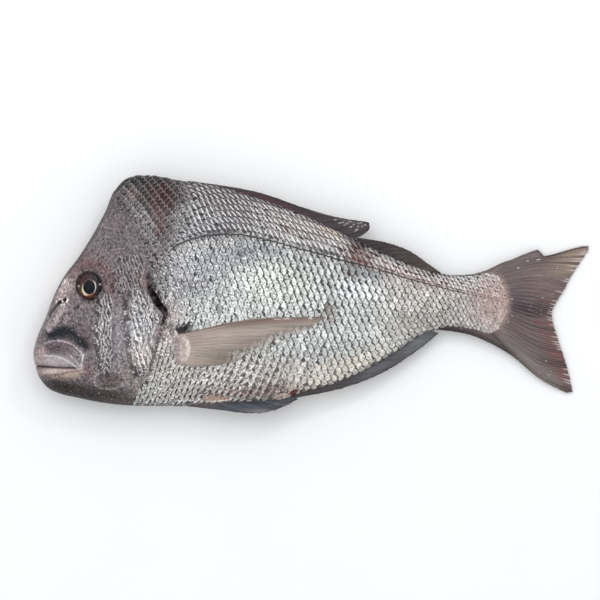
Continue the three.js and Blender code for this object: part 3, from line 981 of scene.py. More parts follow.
def on_skin(skin_rows, x, row):
    """The measured skin's points at x and rows from the lateral line."""
    i = np.clip((x - HOOP_X[0]) / (HOOP_X[1] - HOOP_X[0]), 0, len(HOOP_X) - 1.001)
    j = np.clip((row - HOOP_ROWS[0]) / (HOOP_ROWS[1] - HOOP_ROWS[0]), 0, len(HOOP_ROWS) - 1.001)
    i0, j0 = i.astype(int), j.astype(int)
    fi, fj = (i - i0)[..., None], (j - j0)[..., None]
    low = skin_rows[i0, j0] * (1 - fj) + skin_rows[i0, j0 + 1] * fj
    high = skin_rows[i0 + 1, j0] * (1 - fj) + skin_rows[i0 + 1, j0 + 1] * fj
    yz = low * (1 - fi) + high * fi
    return np.concatenate([np.clip(x, HOOP_X[0], HOOP_X[-1])[..., None], yz], -1)


def directions(skin_rows, x, row, side, by_x, by_row):
    """Unit ways down across the rows and off the measured skin, from steps of x and of rows."""
    forward = on_skin(skin_rows, x + by_x, row) - on_skin(skin_rows, x - by_x, row)
    down = on_skin(skin_rows, x, row + by_row) - on_skin(skin_rows, x, row - by_row)
    ways = down, np.cross(down, forward) * side
    return [way / np.maximum(1e-9, np.linalg.norm(way, axis=-1))[..., None] for way in ways]


def plate_pitch(x, row):
    """How far the scales of a row are from each other."""
    return np.interp(x, *SCALE_PITCH) * np.where(row < 0, np.interp(x, *BACK_PITCH), 1)


def belly_front(x, row):
    """Where the scales are drawn out towards the belly fins, with painted highlights on straight
    rims.
    """
    return ease(row, *FRONT_ROWS) * (1 - ease(x, *FRONT_END))


def slant(x, row):
    """Which way a scale points, in degrees up towards the back."""
    upright = UPRIGHT_SHARE * bell(within(x, row, *UPRIGHT))
    degrees, *rows = BACK_SLANT
    above = degrees * (1 - ease(row, *rows)) * (1 - upright)
    degrees, rows, ends = BELLY_SLANT
    below = degrees * ease(row, *rows) * (1 - ease(x, *ends))
    return above + below + FRONT_SLANT * belly_front(x, row)


SCALE_TURN = 2.5  # how much single plates differ, in degrees
SCALE_SIZE = 0.02
SCALE_TILT = 0.014
SCALE_ROLL = 0.01
SCALE_SHIFT = 0.13
HUMP_END = (-134, -114)  # the x over which the nape's hump ends
SQUARE_ROWS = (-0.8, 0)  # the rows over which the back's squarer plates end
CROWN_FLATTER = 0.5  # how much lower the plates on top of the hump stand
CROWN_END = (-140, -112)
CROWN_ROWS = (-8, -5)
BELLY_POINT = 0.48  # how far the plates by the belly fins are of the back's squarer shape
SLIT_CROSSING = 12  # plates that reach further over the gill slit than this belong to its front
FACE_GAIN = 1.3  # makes up for the flecks and streaks that darken a face
FACE_VARIETY = 0.12
FIRST_COLUMNS = 14  # how far the shoulder's dark tone reaches over the first scales
FIRST_FOOT = (-20, 20)  # the y over which that tone starts
FIRST_TINT = (84, 75, 77)
FIRST_STRENGTH = 0.85
# The scales' dark edges: darker skin, and painted shade where the body turns away from the light.
SCALE_EDGE_DARK_AND_SHADE_TINT = (50, 43, 45)
SHADE_STRENGTH = 0.8  # of the dark at the shoulder and at the edges, between the faces
# Between the faces the shade colour is painted shadow over the skin; on the row above the lateral
# line it is paler.
FIRST_ROW_GAIN = 2  # the row above the lateral line has paler skin between its faces
# The dark crescent behind each plate, painted shadow over darker skin, in millimetres: its width,
# and how much that differs.
CRESCENT = 2.0
CRESCENT_BACK = 0.7  # added above the lateral line
CRESCENT_FLANK = (10, 60, 1.1)  # added about this x, over this reach
CRESCENT_REAR = (90, 130, 0.7)  # added from the first x to the second
CRESCENT_TAIL = (155, 185, -2.0)
CRESCENT_BOLD = (20, 2.5, 45, 3, 1.3)  # added about this x and row, over this reach
CRESCENT_VARIETY = 0.25
# The painted highlight streaks on the back's plates: their power, and by what shares it falls.
STREAK_POWER = (0.55, 1.0)
STREAK_AT_EDGE = 0.7
STREAK_ON_HUMP = (0.84, -142, -116)  # and the x over which that ends
STREAK_ON_TAIL = (0.85, 140, 180)  # and the x over which that starts
BRUISE = (45, 42, 12, 20)  # where blood under the scales has dulled them: centre, half sizes
STREAK_ON_BRUISE = 0.92
SCALE_FACE = (190, 192, 188)
# Tones of the scales' faces: centre x and y, reach along and across, turn, colour, strength.
SCALE_PATCHES = [
    (-70, 92, 100, 26, -14, (85, 75, 79), 0.95),
    (-10, 66, 50, 18, -22, (164, 156, 152), 0.85),
    (-100, 66, 50, 16, 0, (86, 84, 91), 0.88),
    (-160, 98, 38, 26, -10, (52, 45, 46), 0.97),
    (-148, 62, 16, 40, 14, (78, 69, 71), 0.92),
    (-184, 112, 18, 9, 30, (34, 32, 33), 0.9),
    (-166, 114.5, 34, 5.5, -5, (22, 22, 21), 0.9),
    (-186, 98, 13, 10, 20, (116, 98, 96), 0.85),
    (-160, 97, 12, 11, 0, (44, 48, 44), 0.85),
    (-150, 97, 22, 18, -30, (50, 28, 30), 0.97),
    (-152, 66, 6, 34, 8, (78, 54, 56), 0.85),
    (-70, 42, 62, 12, -6, (122, 124, 132), 0.85),
    (-142, -36, 15, 34, 0, (178, 165, 163), 0.9),
    (-122, 16, 34, 26, 0, (140, 139, 144), 0.85),
    (-165, 40, 14, 30, 12, (112, 103, 106), 0.85),
    # The pale mid flank: silver, brightened with painted sheen where the flat flank faces the
    # light above.
    (-35, 12, 38, 22, 0, (222, 226, 214), 0.7),
    (50, 0, 40, 16, -14, (212, 216, 213), 0.85),
    (0, -30, 80, 20, 0, (204, 206, 202), 0.6),
    (20, 65, 18, 9, -20, (206, 178, 150), 0.7),
    (45, 42, 13, 22, -12, (60, 36, 35), 0.97),
    (56, 33, 10, 10, -20, (80, 52, 50), 0.8),
    (-24, 63, 5, 3.4, -30, (92, 64, 52), 0.9),
    (100, 18, 60, 12, -16, (172, 153, 149), 0.75),
    (120, -10, 60, 30, -5, (172, 163, 156), 0.8),
    (186, -8, 26, 32, 0, (168, 144, 138), 0.92),
    (-60, -80, 120, 16, 0, (184, 176, 169), 0.8),
    (-30, -97, 130, 9, 2, (120, 101, 94), 0.95),
    (34, -75, 60, 12, 24, (202, 195, 184), 0.9),
    (16, -19, 8, 9, 0, (112, 96, 90), 0.8),
    (32, -22, 13, 2.6, 0, (84, 78, 74), 0.75),
    (-128.5, -35, 12.5, 6.4, -8, (26, 24, 25), 0.98),
    (-140, -84, 30, 20, 0, (172, 168, 160), 0.8),
    (-95.5, -12.8, 3.8, 3.4, 0, (30, 27, 27), 1.0),
    (-172, 115, 24, 7, 0, (32, 33, 33), 0.95),
    (-106, 47, 42, 6, 12, (186, 184, 177), 0.5),
    # A painted glare: the reflection of the light above on the flank.
    (46, 1, 26, 7, -8, (250, 254, 254), 0.92),
    (52, 20, 24, 7, -14, (118, 124, 130), 0.75),
    (98, -2, 34, 15, -8, (204, 198, 192), 0.5),
    (22, -76, 36, 9, 22, (226, 218, 206), 0.65),
    (-131, -36.5, 9, 5, -8, (4, 4, 4), 1.0),
    (135, 20.5, 30, 4, 0, (62, 48, 54), 0.9),
    (172, 24, 22, 5, 8, (90, 64, 70), 0.85),
    (100, -32, 30, 10, 12, (166, 155, 145), 0.6),
    (-102, 30, 30, 14, 0, (156, 157, 163), 0.8),
]
SCALE_SHADE = (44, 46, 49)
# Tones of the skin and the shadow between them, in the same way.
SHADE_PATCHES = [
    (-60, 84, 100, 30, -14, (54, 43, 45), 0.95),
    (-150, 80, 40, 50, 0, (44, 37, 39), 0.95),
    (-155, 97, 12, 12, 0, (28, 33, 31), 0.9),
    (-148, 98, 18, 15, -30, (66, 28, 30), 0.9),
    (-152, 66, 7, 34, 8, (60, 32, 33), 0.8),
    (-184, 112, 18, 9, 30, (24, 24, 26), 0.9),
    (-70, 40, 62, 14, -6, (44, 48, 56), 0.9),
    (-142, -36, 14, 34, 0, (122, 108, 108), 0.92),
    (46, 42, 14, 22, -12, (66, 31, 31), 0.95),
    (110, 16, 70, 14, -16, (76, 56, 54), 0.8),
    (184, -8, 26, 34, 0, (124, 96, 92), 0.9),
    (-40, -98, 140, 14, 2, (74, 60, 56), 0.9),
    (-128.5, -35, 12.5, 6.4, -8, (18, 17, 18), 0.98),
    (-60, -76, 120, 16, 0, (100, 93, 89), 0.8),
    (-131, -36.5, 9, 5, -8, (14, 13, 14), 0.98),
]


def scatter(side):
    """The measured skin of one flank, and its scales' centres as x and row."""
    skin_rows, limits = measured(side)
    step = 0.25
    fine_x = np.arange(HOOP_X[0], 200, step)
    xs, rows = [], []
    for row in ROWS:
        count = np.concatenate([[0], np.cumsum(step / plate_pitch(fine_x, row))])[:-1]
        x = np.interp(np.arange(0, count[-1]) + 0.5 * (row % 2), count, fine_x)
        xs.append(x)
        rows.append(np.full(len(x), float(row)))
    x, row = np.concatenate(xs), np.concatenate(rows)
    low = np.interp(x, HOOP_X, limits[:, 0])
    high = np.interp(x, HOOP_X, limits[:, 1])
    _, y, _ = on_skin(skin_rows, x, row).T
    nearer, *span = BACK_MARGIN
    kept = (row > low + ROW_MARGIN - nearer * ease(x, *span)) & (row < high - ROW_MARGIN)
    kept &= x > np.interp(y, *SCALED_FRONT)
    kept &= x < np.interp(y, *SCALED_REAR) + LAST_SCALES
    kept &= within(x, y, *AXIL) > 1
    return skin_rows, x[kept], row[kept]


plate_shapes, plate_faces = plate()

# The plates' finish. A plate is bright over its face, with fine rays and painted glints, and has a
# painted highlight along its free rim, drawn as a straight streak on the back's plates. The plates
# on it throw a dark crescent over its root, painted shadow over darker skin, whose width is the
# face colour's fourth value.
silver = wet("silver_scale", 0.15, 0.14, Metallic=0.1)
chart = silver.add("ShaderNodeUVMap", {"uv_map": "plate_chart"}, {})
u = (silver.part(chart, "X") - 0.5) * CHART_SPAN
v = (silver.part(chart, "Y") - 0.5) * CHART_SPAN
rim_power = silver.colour("shade_colour", "Alpha")
point = silver.ease(rim_power, 0, 0.02) * (PLATE_POINT[1] - PLATE_POINT[0]) + PLATE_POINT[0]


def free_edge(across):
    """Where a plate's rear edge is at a distance across it."""
    rest = (1 - (abs(across) / PLATE_HALF_WIDTH) ** point).at_least(0)
    return rest ** (point**-1) * PLATE_HALF_LENGTH + PLATE_MIDDLE


ahead_edge = free_edge(v) - REFERENCE_PITCH
beside_edge = free_edge(abs(v) - REFERENCE_ROW) - REFERENCE_PITCH / 2
spot = silver.place()
grain = silver.noise(spot, 520, 2, 0.6) - 0.5
fleck = silver.noise(spot, 260, 2, 0.6) - 0.5
spark = silver.noise(spot, 520, 1, 0.5)
behind = u - ahead_edge.at_least(beside_edge) + grain * 0.9
dark_width = silver.colour("face_colour", "Alpha") * 10
lower = silver.ease(v, -5.0, 1.0)
root_shade = (1 - silver.ease(behind, dark_width * 0.4, dark_width)) * (lower * 0.7 + 0.3)
# A painted highlight along the free rim.
rim = 1 - silver.ease(free_edge(v) - u + grain * 1.2, 0.6, 1.5)
rim = rim * silver.ease(dark_width, 0.7, 1.6) * 0.24
# On the back's plates, a straight painted highlight streak, with painted shade past it.
streak = silver.ease(abs(u - 2.7 + grain), 0.95, 0.4) * silver.ease(abs(v + 0.4), 5.2, 3.6)
streak = streak * rim_power
shade_past_highlight_streak = silver.ease(u, 3.1, 3.8) * rim_power
own = silver.noise(spot, 60, 1) * 9
combed = silver.joined(u * 0.3, v * 1.5, own)
rays = silver.noise(combed, 1.0, 2, 0.6) - 0.5
calm = silver.ease(dark_width, -0.8, 1.8)
rear = silver.ease(silver.part(spot, "X"), -0.08, 0.02)
glow = (rays * 0.9 + grain * (2.7 - rear * 1.3) + fleck * 0.7) * calm + 0.84
face_tint = silver.colour("face_colour")
shade_tint = silver.colour("shade_colour")
tint = silver.mix(1.0, face_tint, glow.at_least(0.08), "MULTIPLY")
tint = silver.mix(root_shade.at_least(shade_past_highlight_streak) * 0.95, tint, shade_tint)
rims = rim.at_least(streak) * silver.ease(grain, -0.36, -0.08)
tint = silver.mix(rims, tint, silver.mix(0.9, face_tint, linear(255, 252, 251)))
bright = silver.ease(silver.add("ShaderNodeRGBToBW", {}, {0: face_tint}), 0.02, 0.4)
# Painted glints of light on the faces.
sparkle = silver.ease(spark, 0.63, 0.71) * bright * (0.85 - rear * 0.35)
tint = silver.mix(sparkle, tint, linear(252, 251, 250))
tint = silver.mix(silver.ease(spark, 0.36, 0.29) * 0.65, tint, shade_tint)
silver.feed("Base Color", tint)
silver.feed("Roughness", 0.42 + grain * 0.4 + root_shade * 0.2)
silver.bump(rays * 0.4 + grain * 0.7 - root_shade * 0.5, 0.0003)

for side, side_name in SIDES:
    skin_rows, x, row = scatter(side)
    random = np.random.default_rng(7 + side)
    number = len(x)
    netted = 1 - ease(x, *HUMP_END)  # on the hump, whose plates are as pointed as the flank's
    upper = (1 - ease(row, *SQUARE_ROWS)) * (1 - netted)
    upper = np.maximum(upper, BELLY_POINT * belly_front(x, row))
    p, q, height = np.moveaxis(plate_shapes[(upper > 0.05).astype(int)], 1, 0)
    pitch = plate_pitch(x, row)[:, None]
    gap = (np.interp(x, *ROW_SPACING) * np.where(row < 0, BACK_ROWS, 1))[:, None]
    turned = np.radians(slant(x, row) + random.normal(0, SCALE_TURN, number))[:, None]
    size = 1 + random.normal(0, SCALE_SIZE, number)[:, None]
    tilt = random.normal(0, SCALE_TILT, number)[:, None]
    roll = random.normal(0, SCALE_ROLL, number)[:, None]
    shift = random.normal(0, SCALE_SHIFT, number)[:, None]
    squeeze = (gap / REFERENCE_ROW) / (pitch / REFERENCE_PITCH)
    ahead = (p * np.cos(turned) + q * np.sin(turned) * squeeze) * size
    up = (-p * np.sin(turned) / squeeze + q * np.cos(turned)) * size
    px = x[:, None] + ahead / REFERENCE_PITCH * pitch + shift
    prow = row[:, None] + up / REFERENCE_ROW
    _, outward = directions(skin_rows, px, prow, side, 0.5, 0.1)
    crown = (1 - ease(x, *CROWN_END)) * (1 - ease(row, *CROWN_ROWS))
    raised = (height + tilt * (p + 4) + roll * q) * (1 - CROWN_FLATTER * crown)[:, None]
    raised = raised * np.sqrt(pitch * gap / (REFERENCE_PITCH * REFERENCE_ROW))
    places = on_skin(skin_rows, px, prow) + outward * raised[..., None]
    behind_slit, share = beside(GILL_LINE, places[..., 0], places[..., 1])
    crossing = np.maximum(0, gill_opening(share) - behind_slit) * (share > 0) * (share < 1)
    places[..., 0] += np.where(crossing < SLIT_CROSSING, crossing, 0)

    mx, my, mz = on_skin(skin_rows, x, row).T
    face = toned(SCALE_FACE, mx, my, SCALE_PATCHES)
    shade = toned(SCALE_SHADE, mx, my, SHADE_PATCHES)
    shade[row == -1] *= FIRST_ROW_GAIN
    first = bell((x - np.interp(my, *SCALED_FRONT)) / FIRST_COLUMNS) * ease(my, *FIRST_FOOT)
    # Darker skin and painted shade towards the fish's edges.
    dark_and_shaded_edge = dark_and_shaded_edge_share(mx, mz)
    face = cover(face, FIRST_STRENGTH * first, FIRST_TINT)
    face = cover(face, EDGE_STRENGTH * dark_and_shaded_edge, SCALE_EDGE_DARK_AND_SHADE_TINT)
    shade = cover(shade, SHADE_STRENGTH * np.maximum(first, dark_and_shaded_edge), EDGE_DARK_AND_SHADE_TINT)
    face = face * np.exp(random.normal(0, FACE_VARIETY, number))[:, None] * FACE_GAIN

    at, reach, more = CRESCENT_FLANK
    wide = CRESCENT + CRESCENT_BACK * upper + more * bell((x - at) / reach)
    for start, end, more in (CRESCENT_REAR, CRESCENT_TAIL):
        wide = wide + more * ease(x, start, end)
    *oval, more = CRESCENT_BOLD
    wide = wide + more * bell(within(x, row, *oval))
    face[:, 3] = (wide + random.normal(0, CRESCENT_VARIETY, number)) / 10
    power = random.uniform(*STREAK_POWER, number) * (1 - STREAK_AT_EDGE * np.maximum(first, dark_and_shaded_edge))
    less, *span = STREAK_ON_HUMP
    power = power * (1 - less * (1 - ease(x, *span)))
    power = power * (1 - STREAK_ON_BRUISE * bell(within(mx, my, *BRUISE)))
    less, *span = STREAK_ON_TAIL
    shade[:, 3] = upper * power * (1 - less * ease(x, *span))
    charts = np.stack([p, q], -1)
    shingle(f"scales_{side_name}", places, charts, face, shade, side)

# ---------------------------------------------------------------------------------------------
# The small scales of the head, on the cheek, on the gill cover and over the temple. They are set
# deep in the skin, each one narrow and upright, so that only their rear rims stand proud.

# Where each patch is, from below up: y, front x and rear x.
CHEEK_SCALES = [[-76, -210, -200], [-56, -216, -199.5], [-26, -215, -199.5], [-2, -213, -199]]
COVER_SCALES = [
    [-76, -178, -165],
    [-58, -182, -161],
    [-41, -183, -157],
    [-22, -184, -155],
    [2, -184, -168],
]
TEMPLE_SCALES = [[4, -198, -170], [20, -197, -169], [36, -190, -167]]
# Each patch, the scales' pitch, the rows' spacing, and the strength of the painted highlights on
# the scales' rims.
SMALL_PATCHES = [
    (CHEEK_SCALES, 3.5, 6.6, 0.5),
    (COVER_SCALES, 4.5, 7.6, 0.4),
    (TEMPLE_SCALES, 3.3, 4.5, 0.13),
]
SMALL_SPAN = (-225, -150)  # the plan x between which all of them lie
SMALL_SHIFT = (0.35, 0.8)  # how much single scales are out of line, along x and y
SMALL_TURN = (-4, 13)  # their turn in degrees, and how much it differs
SMALL_LIFT = 0.34
SMALL_GAIN = 1.35  # of the face's tone over the skin's around it
SMALL_VARIETY = 0.2
SMALL_SHADE = 0.3
SMALL_CRESCENT = 0.24
SMALL_RIM_VARIETY = (0.5, 1.1)

p, q, height = plate_shapes[1]
for side, side_name in SIDES:
    random = np.random.default_rng(50 + side)
    corners, centres, rims = [], [], []
    for rows, pitch, gap, rim_share in SMALL_PATCHES:
        limits = np.array(rows, float)
        lines = np.arange(limits[0, 0], limits[-1, 0], gap)
        cx, cy = np.meshgrid(np.arange(*SMALL_SPAN, pitch), lines)
        cx = (cx + (np.arange(len(lines)) % 2)[:, None] * pitch / 2).ravel()
        cx = cx + random.normal(0, SMALL_SHIFT[0], len(cx))
        cy = cy.ravel() + random.normal(0, SMALL_SHIFT[1], len(cx))
        front, rear = (np.interp(cy, limits[:, 0], limits[:, k]) for k in (1, 2))
        kept = (cx > front) & (cx < rear)
        cx, cy = cx[kept], cy[kept]
        turned = np.radians(random.normal(*SMALL_TURN, len(cx)))[:, None]
        ahead, across = p / REFERENCE_PITCH * pitch, q / REFERENCE_ROW * gap
        x = cx[:, None] + ahead * np.cos(turned) - across * np.sin(turned)
        y = cy[:, None] - ahead * np.sin(turned) - across * np.cos(turned)
        thin = math.sqrt(pitch * gap / (REFERENCE_PITCH * REFERENCE_ROW))
        z = flank(x, y, side) + side * (carving(x, y) + (height + SMALL_LIFT) * thin)
        corners.append(np.stack([x, y, z], -1))
        centres.append(np.stack([cx, cy], -1))
        rims.append(np.full(len(cx), rim_share))
    places, centres = np.concatenate(corners), np.concatenate(centres)
    base = head_colours(centres[:, 0], centres[:, 1])
    face = base * SMALL_GAIN * np.exp(random.normal(0, SMALL_VARIETY, len(base)))[:, None]
    shade = base * SMALL_SHADE
    face[:, 3] = SMALL_CRESCENT
    shade[:, 3] = np.concatenate(rims) * random.uniform(*SMALL_RIM_VARIETY, len(base))
    charts = np.broadcast_to(np.stack([p, q], -1), (len(base), len(p), 2))
    shingle(f"head_scales_{side_name}", places, charts, face, shade, side)

# ---------------------------------------------------------------------------------------------
# The lateral line on each flank: a row of pored scales whose linked canals draw one thin dark seam
# from the shoulder to the tail. It is a fine cord that lies along the scales' first row.
CORD_START = -147.0
CORD_END = 188.0
CORD_RADIUS = (0.85, 0.5)  # up and down along the flank, and off it
CORD_LIFT = (0.4, 0.3)  # of its middle off the skin, and more in the middle of its run
CORD_WAVES = [(0.05, 0.9106), (0.02, 0.37)]  # up and down, in rows, and turn per millimetre

dark_seam = Finish("dark_seam", {"Coat Weight": 0.2, "Coat Roughness": 0.2})
spot = dark_seam.place()
worn = dark_seam.noise(spot, 420, 3, 0.7)
worn_through = dark_seam.ease(worn, 0.44, 0.66)
dark_seam.feed("Base Color", dark_seam.mix(worn_through, linear(34, 31, 31), linear(78, 72, 70)))
dark_seam.feed("Roughness", 0.4 + worn * 0.3)
dark_seam.bump(worn, 0.0002)
for side, side_name in SIDES:
    skin_rows, _ = measured(side)
    cord, ball = globe(f"lateral_line_{side_name}", segments=8, rings=300)
    fall, turn = bearings(ball)
    x = CORD_START + (CORD_END - CORD_START) * fall
    wave = sum(high * np.sin(x * pace) for high, pace in CORD_WAVES)
    down, outward = directions(skin_rows, x, wave, side, 1, 0.2)
    slim = np.minimum(1, 25 * fall) * (1 - fall**6) * (1 - 0.25 * fall)
    below = CORD_RADIUS[0] * slim * np.cos(turn)
    off = CORD_LIFT[0] + CORD_LIFT[1] * np.sin(math.pi * fall)
    off = off + CORD_RADIUS[1] * slim * np.sin(turn)
    path = on_skin(skin_rows, x, wave)
    set_coordinates(cord, path + down * below[:, None] + outward * off[:, None])
    bpy.ops.object.mode_set(mode="EDIT")
    bpy.ops.mesh.select_all(action="SELECT")
    bpy.ops.mesh.normals_make_consistent(inside=False)
    bpy.ops.object.mode_set(mode="OBJECT")
    bpy.ops.object.shade_smooth()
    cord.data.materials.append(dark_seam.material)
    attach(cord, "root")
    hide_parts("fish")

# ---------------------------------------------------------------------------------------------
# The eyes: one wet globe in each socket of the head, slightly domed as the clear cornea is, and
# painted with its brown iris, thin gold ring, and navy pupil that death has clouded. The skin's
# rim holds it in.
EYE_CROWDING = 1.35  # above 1, the pupil has closer rings
PUPIL = (-222.0, 6.8)
PUPIL_SIZE = (6.0, 7.2)
PUPIL_RIM = (0.97, 1.05)  # in pupil sizes, where its dark rim fades into the ring
PUPIL_CORE = (0.74, 0.95)  # where the clouded middle fades into that rim
PUPIL_RIM_TINT = (14, 14, 17)
PUPIL_TINT = (12, 19, 28)
SOCKET_SHADE = (0.74, 0.98, 0.85)  # in sizes of the socket's opening, and its strength
SOCKET_TINT = (22, 17, 19)
IRIS_SKIN = (58, 46, 50)
IRIS_PATCHES = [
    (-230, 15, 7, 9, -30, (66, 40, 40), 0.9),
    (-213, 16, 6, 8, -40, (46, 44, 52), 0.85),
    (-212, 4, 5, 8, 0, (40, 37, 41), 0.9),
    (-222.5, 19.5, 9, 3, 0, (70, 60, 66), 0.7),
    (-224, -2.6, 7, 3.2, 0, (118, 58, 36), 0.95),
    (-233, 1, 3.5, 7, 30, (128, 104, 88), 0.7),
    (-231, -3, 5, 3, -40, (84, 66, 60), 0.7),
]
EYE_GLINTS = [
    (-211.0, 9.6, 1.2, 1.0, 0, (235, 228, 228), 0.9),
    (-232.4, 7.8, 1.0, 0.8, 30, (228, 214, 200), 0.8),
]
# The gold ring: angle in degrees, outer limit in pupil sizes, colour.
RING_STOPS = [
    (-180, 1.2, (206, 190, 160)),
    (-150, 1.3, (232, 216, 182)),
    (-125, 1.34, (236, 222, 196)),
    (-95, 1.14, (214, 168, 146)),
    (-60, 1.1, (170, 116, 96)),
    (-30, 1.12, (206, 196, 190)),
    (0, 1.16, (222, 214, 210)),
    (30, 1.2, (218, 208, 190)),
    (60, 1.12, (140, 122, 108)),
    (95, 1.08, (104, 78, 70)),
    (140, 1.06, (96, 66, 62)),
    (180, 1.2, (206, 190, 160)),
]


def eye_colours(x, y):
    """The eye's colours at plan points. The fourth value is the strength of the iris's fibres."""
    colours = toned(IRIS_SKIN, x, y, IRIS_PATCHES)
    across, up = (x - PUPIL[0]) / PUPIL_SIZE[0], (y - PUPIL[1]) / PUPIL_SIZE[1]
    out = np.hypot(across, up)
    angle = np.degrees(np.arctan2(up, across))
    stops, limits, tones = zip(*RING_STOPS)
    limit = np.interp(angle, stops, limits)
    tones = np.array([linear(*tone) for tone in tones]).T
    ring = np.stack([np.interp(angle, stops, channel) for channel in tones], -1)
    mask = (1 - ease(out, limit - 0.07, limit + 0.07))[:, None]
    colours = colours + mask * (ring - colours)
    *span, strength = SOCKET_SHADE
    shaded = strength * ease(within(x, y, *EYE, *ORBIT), *span)
    colours = cover(colours, shaded, SOCKET_TINT)
    colours = cover(colours, 1 - ease(out, *PUPIL_RIM), PUPIL_RIM_TINT)
    core = 1 - ease(out, *PUPIL_CORE)
    colours = dab(cover(colours, core, PUPIL_TINT), x, y, EYE_GLINTS)
    colours[:, 3] = 1 - 0.85 * core
    return colours


cornea = Finish(
    "wet_eye", {"Roughness": 0.6, "Coat Weight": 0.1, "Coat Roughness": 0.04, "IOR": 1.12}
)
spot = cornea.place()
thread = cornea.noise(spot, 900, 3, 0.7)
clouded = cornea.noise(spot, 260, 2)
fibres = cornea.colour("eye_colour", "Alpha")
pale_fibres = cornea.ease(thread, 0.5, 0.72) * fibres * 0.35
dark_fibres = cornea.ease(thread, 0.48, 0.28) * fibres * 0.5
tint = cornea.mix(pale_fibres, cornea.colour("eye_colour"), linear(170, 150, 132))
tint = cornea.mix(dark_fibres, tint, linear(16, 13, 15))
tint = cornea.mix(cornea.ease(clouded, 0.5, 0.7) * 0.05, tint, linear(120, 126, 136))
cornea.feed("Base Color", tint)
cornea.bump(clouded, 0.0001)

for side, side_name in SIDES:
    eyeball, ball = globe(f"eyeball_{side_name}", segments=160, rings=90)
    fall, turn = bearings(ball * [1, 1, side])
    polar = math.pi * fall**EYE_CROWDING
    level = float(flank(EYE[0], EYE[1], side)) - side * EYE_SUNK
    places = np.stack(
        [
            EYE[0] + EYE_RADII[0] * np.sin(polar) * np.cos(turn),
            EYE[1] + EYE_RADII[1] * np.sin(polar) * np.sin(turn),
            level + side * EYE_RADII[2] * np.cos(polar),
        ],
        -1,
    )
    set_coordinates(eyeball, places)
    bpy.ops.object.shade_smooth()
    paint(eyeball, "eye_colour", eye_colours(places[:, 0], places[:, 1]))
    eyeball.data.materials.append(cornea.material)
    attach(eyeball, "root")
    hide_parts(f"eye_{side_name}")

# ---------------------------------------------------------------------------------------------
# The tail fin: a forked fan of bony rays joined by thin skin. Each ray is a stack of short joints
# and splits twice on its way out, so that the rear edge is fringed with fine tips.

# Lines of plan points across the tail, from its root out, which the sheet runs through.
TAIL_LINES = [
    [[163, 14], [166, -8], [124, -35.5]],
    [[180, 24], [182, -9], [160, -41.5]],
    [[198, 33.5], [199, -10], [197, -59.5]],
    [[232, 43], [222, -15], [230, -86]],
    [[284, 51], [266.5, 26], [252, 1], [241.5, -19], [248, -46], [257, -74], [264, -103]],
]
# How far the upper edge stands off that, with its nick: plan x, and the distance there.
TAIL_EDGE = ([163, 172, 200, 212, 227, 233, 242, 262, 278], [4, 3, 0, 1.5, 3, -5.2, -5, -2, 0])
TAIL_EDGE_RAYS = 1.1  # how many rays that takes with it
TAIL_FORKS = [(0.25, 0.3, 0.55), (0.125, 0.62, 0.85)]  # half a fork's width, its start and end
TAIL_SKIN = (103, 88, 90)
TAIL_PATCHES = [
    (195, 20, 26, 14, 20, (122, 108, 106), 0.8),
    (255, 32, 34, 13, 28, (140, 124, 116), 0.85),
    (236, 6, 14, 10, 0, (128, 104, 98), 0.7),
    (205, -7, 12, 9, 0, (92, 82, 88), 0.7),
    (224, -15, 26, 8, -4, (48, 36, 43), 0.95),
    (237, -18, 8, 4, -4, (22, 15, 19), 0.97),
    (252, -44, 8, 26, 12, (124, 78, 72), 0.7),
    (240, -40, 9, 22, 8, (118, 84, 80), 0.7),
    (251, -83, 9, 15, 14, (94, 64, 61), 0.9),
    (250, -93, 13, 9, -20, (94, 78, 76), 0.6),
    (206, -36, 16, 14, -45, (110, 94, 90), 0.6),
    (188, -36, 12, 8, -40, (140, 124, 112), 0.7),
    (264, 34, 22, 11, 28, (172, 150, 126), 0.7),
    (247, -70, 9, 30, 14, (112, 66, 60), 0.6),
]
TAIL_ROOT = (186, 158, 151)  # the flesh's own tone, which ends where the scales do
TAIL_ROOT_STRENGTH = 0.85
TAIL_ROOT_EDGE = (-4, 4)  # behind the last scales, where it ends
TAIL_ROOT_MIDDLE = (-7, 20, 32)  # its y, and the distances from it over which the tone ends
TAIL_ROOT_CORNER = (166, 186, 22, 30)  # x, and distances below zero, over which it is cut off
# Painted glints: tiny wet highlights along the rays near the root.
TAIL_PAINTED_GLINTS = [
    [[200.6, -4.6], [201.8, -4.8]],
    [[200.4, -21.8], [201.6, -22]],
    [[197, -28], [198.2, -28.2]],
    [[206, 26], [208, 26.5]],
    [[216, 33], [218, 33.4]],
    [[226, 34], [229, 35]],
]
TAIL_STROKES = [
    ([[186, -40], [205, -56], [226, -77], [250, -97]], (134, 127, 122), 9, 0.8),
    ([[170, 16], [205, 36], [229, 43]], (120, 110, 107), 5, 0.6),
    ([[176, -34], [196, -56], [228, -88]], (64, 56, 54), 2.2, 0.8),
    # Painted shade of the peduncle's rounded underside, laid on the tail fin's low front edge.
    ([[118, -33], [140, -36], [160, -41], [178, -49], [204, -64]], (40, 33, 30), 4.2, 0.95),
    *((speck, (250, 244, 244), 0.6, 0.9) for speck in TAIL_PAINTED_GLINTS),
    ([[226, -6], [242, -8.5]], (120, 56, 54), 1.2, 0.8),
    ([[214, -21], [243, -24]], (66, 38, 42), 1.0, 0.85),
    ([[222, -28], [243, -30]], (112, 50, 50), 1.3, 0.8),
    ([[228, -38], [245, -42]], (104, 60, 58), 1.4, 0.7),
    ([[230, -52], [249, -62]], (120, 74, 68), 1.6, 0.7),
    ([[232, 4], [246, 3]], (96, 66, 66), 1.0, 0.7),
]


def branches(phase, out, forks):
    """Distance of places on a fin from the nearest ray, in rays. A ray forks on its way out."""
    apart = np.abs(phase - np.floor(phase) - 0.5)
    for reach, start, end in forks:
        apart = np.abs(apart - reach * ease(out, start, end))
    return apart


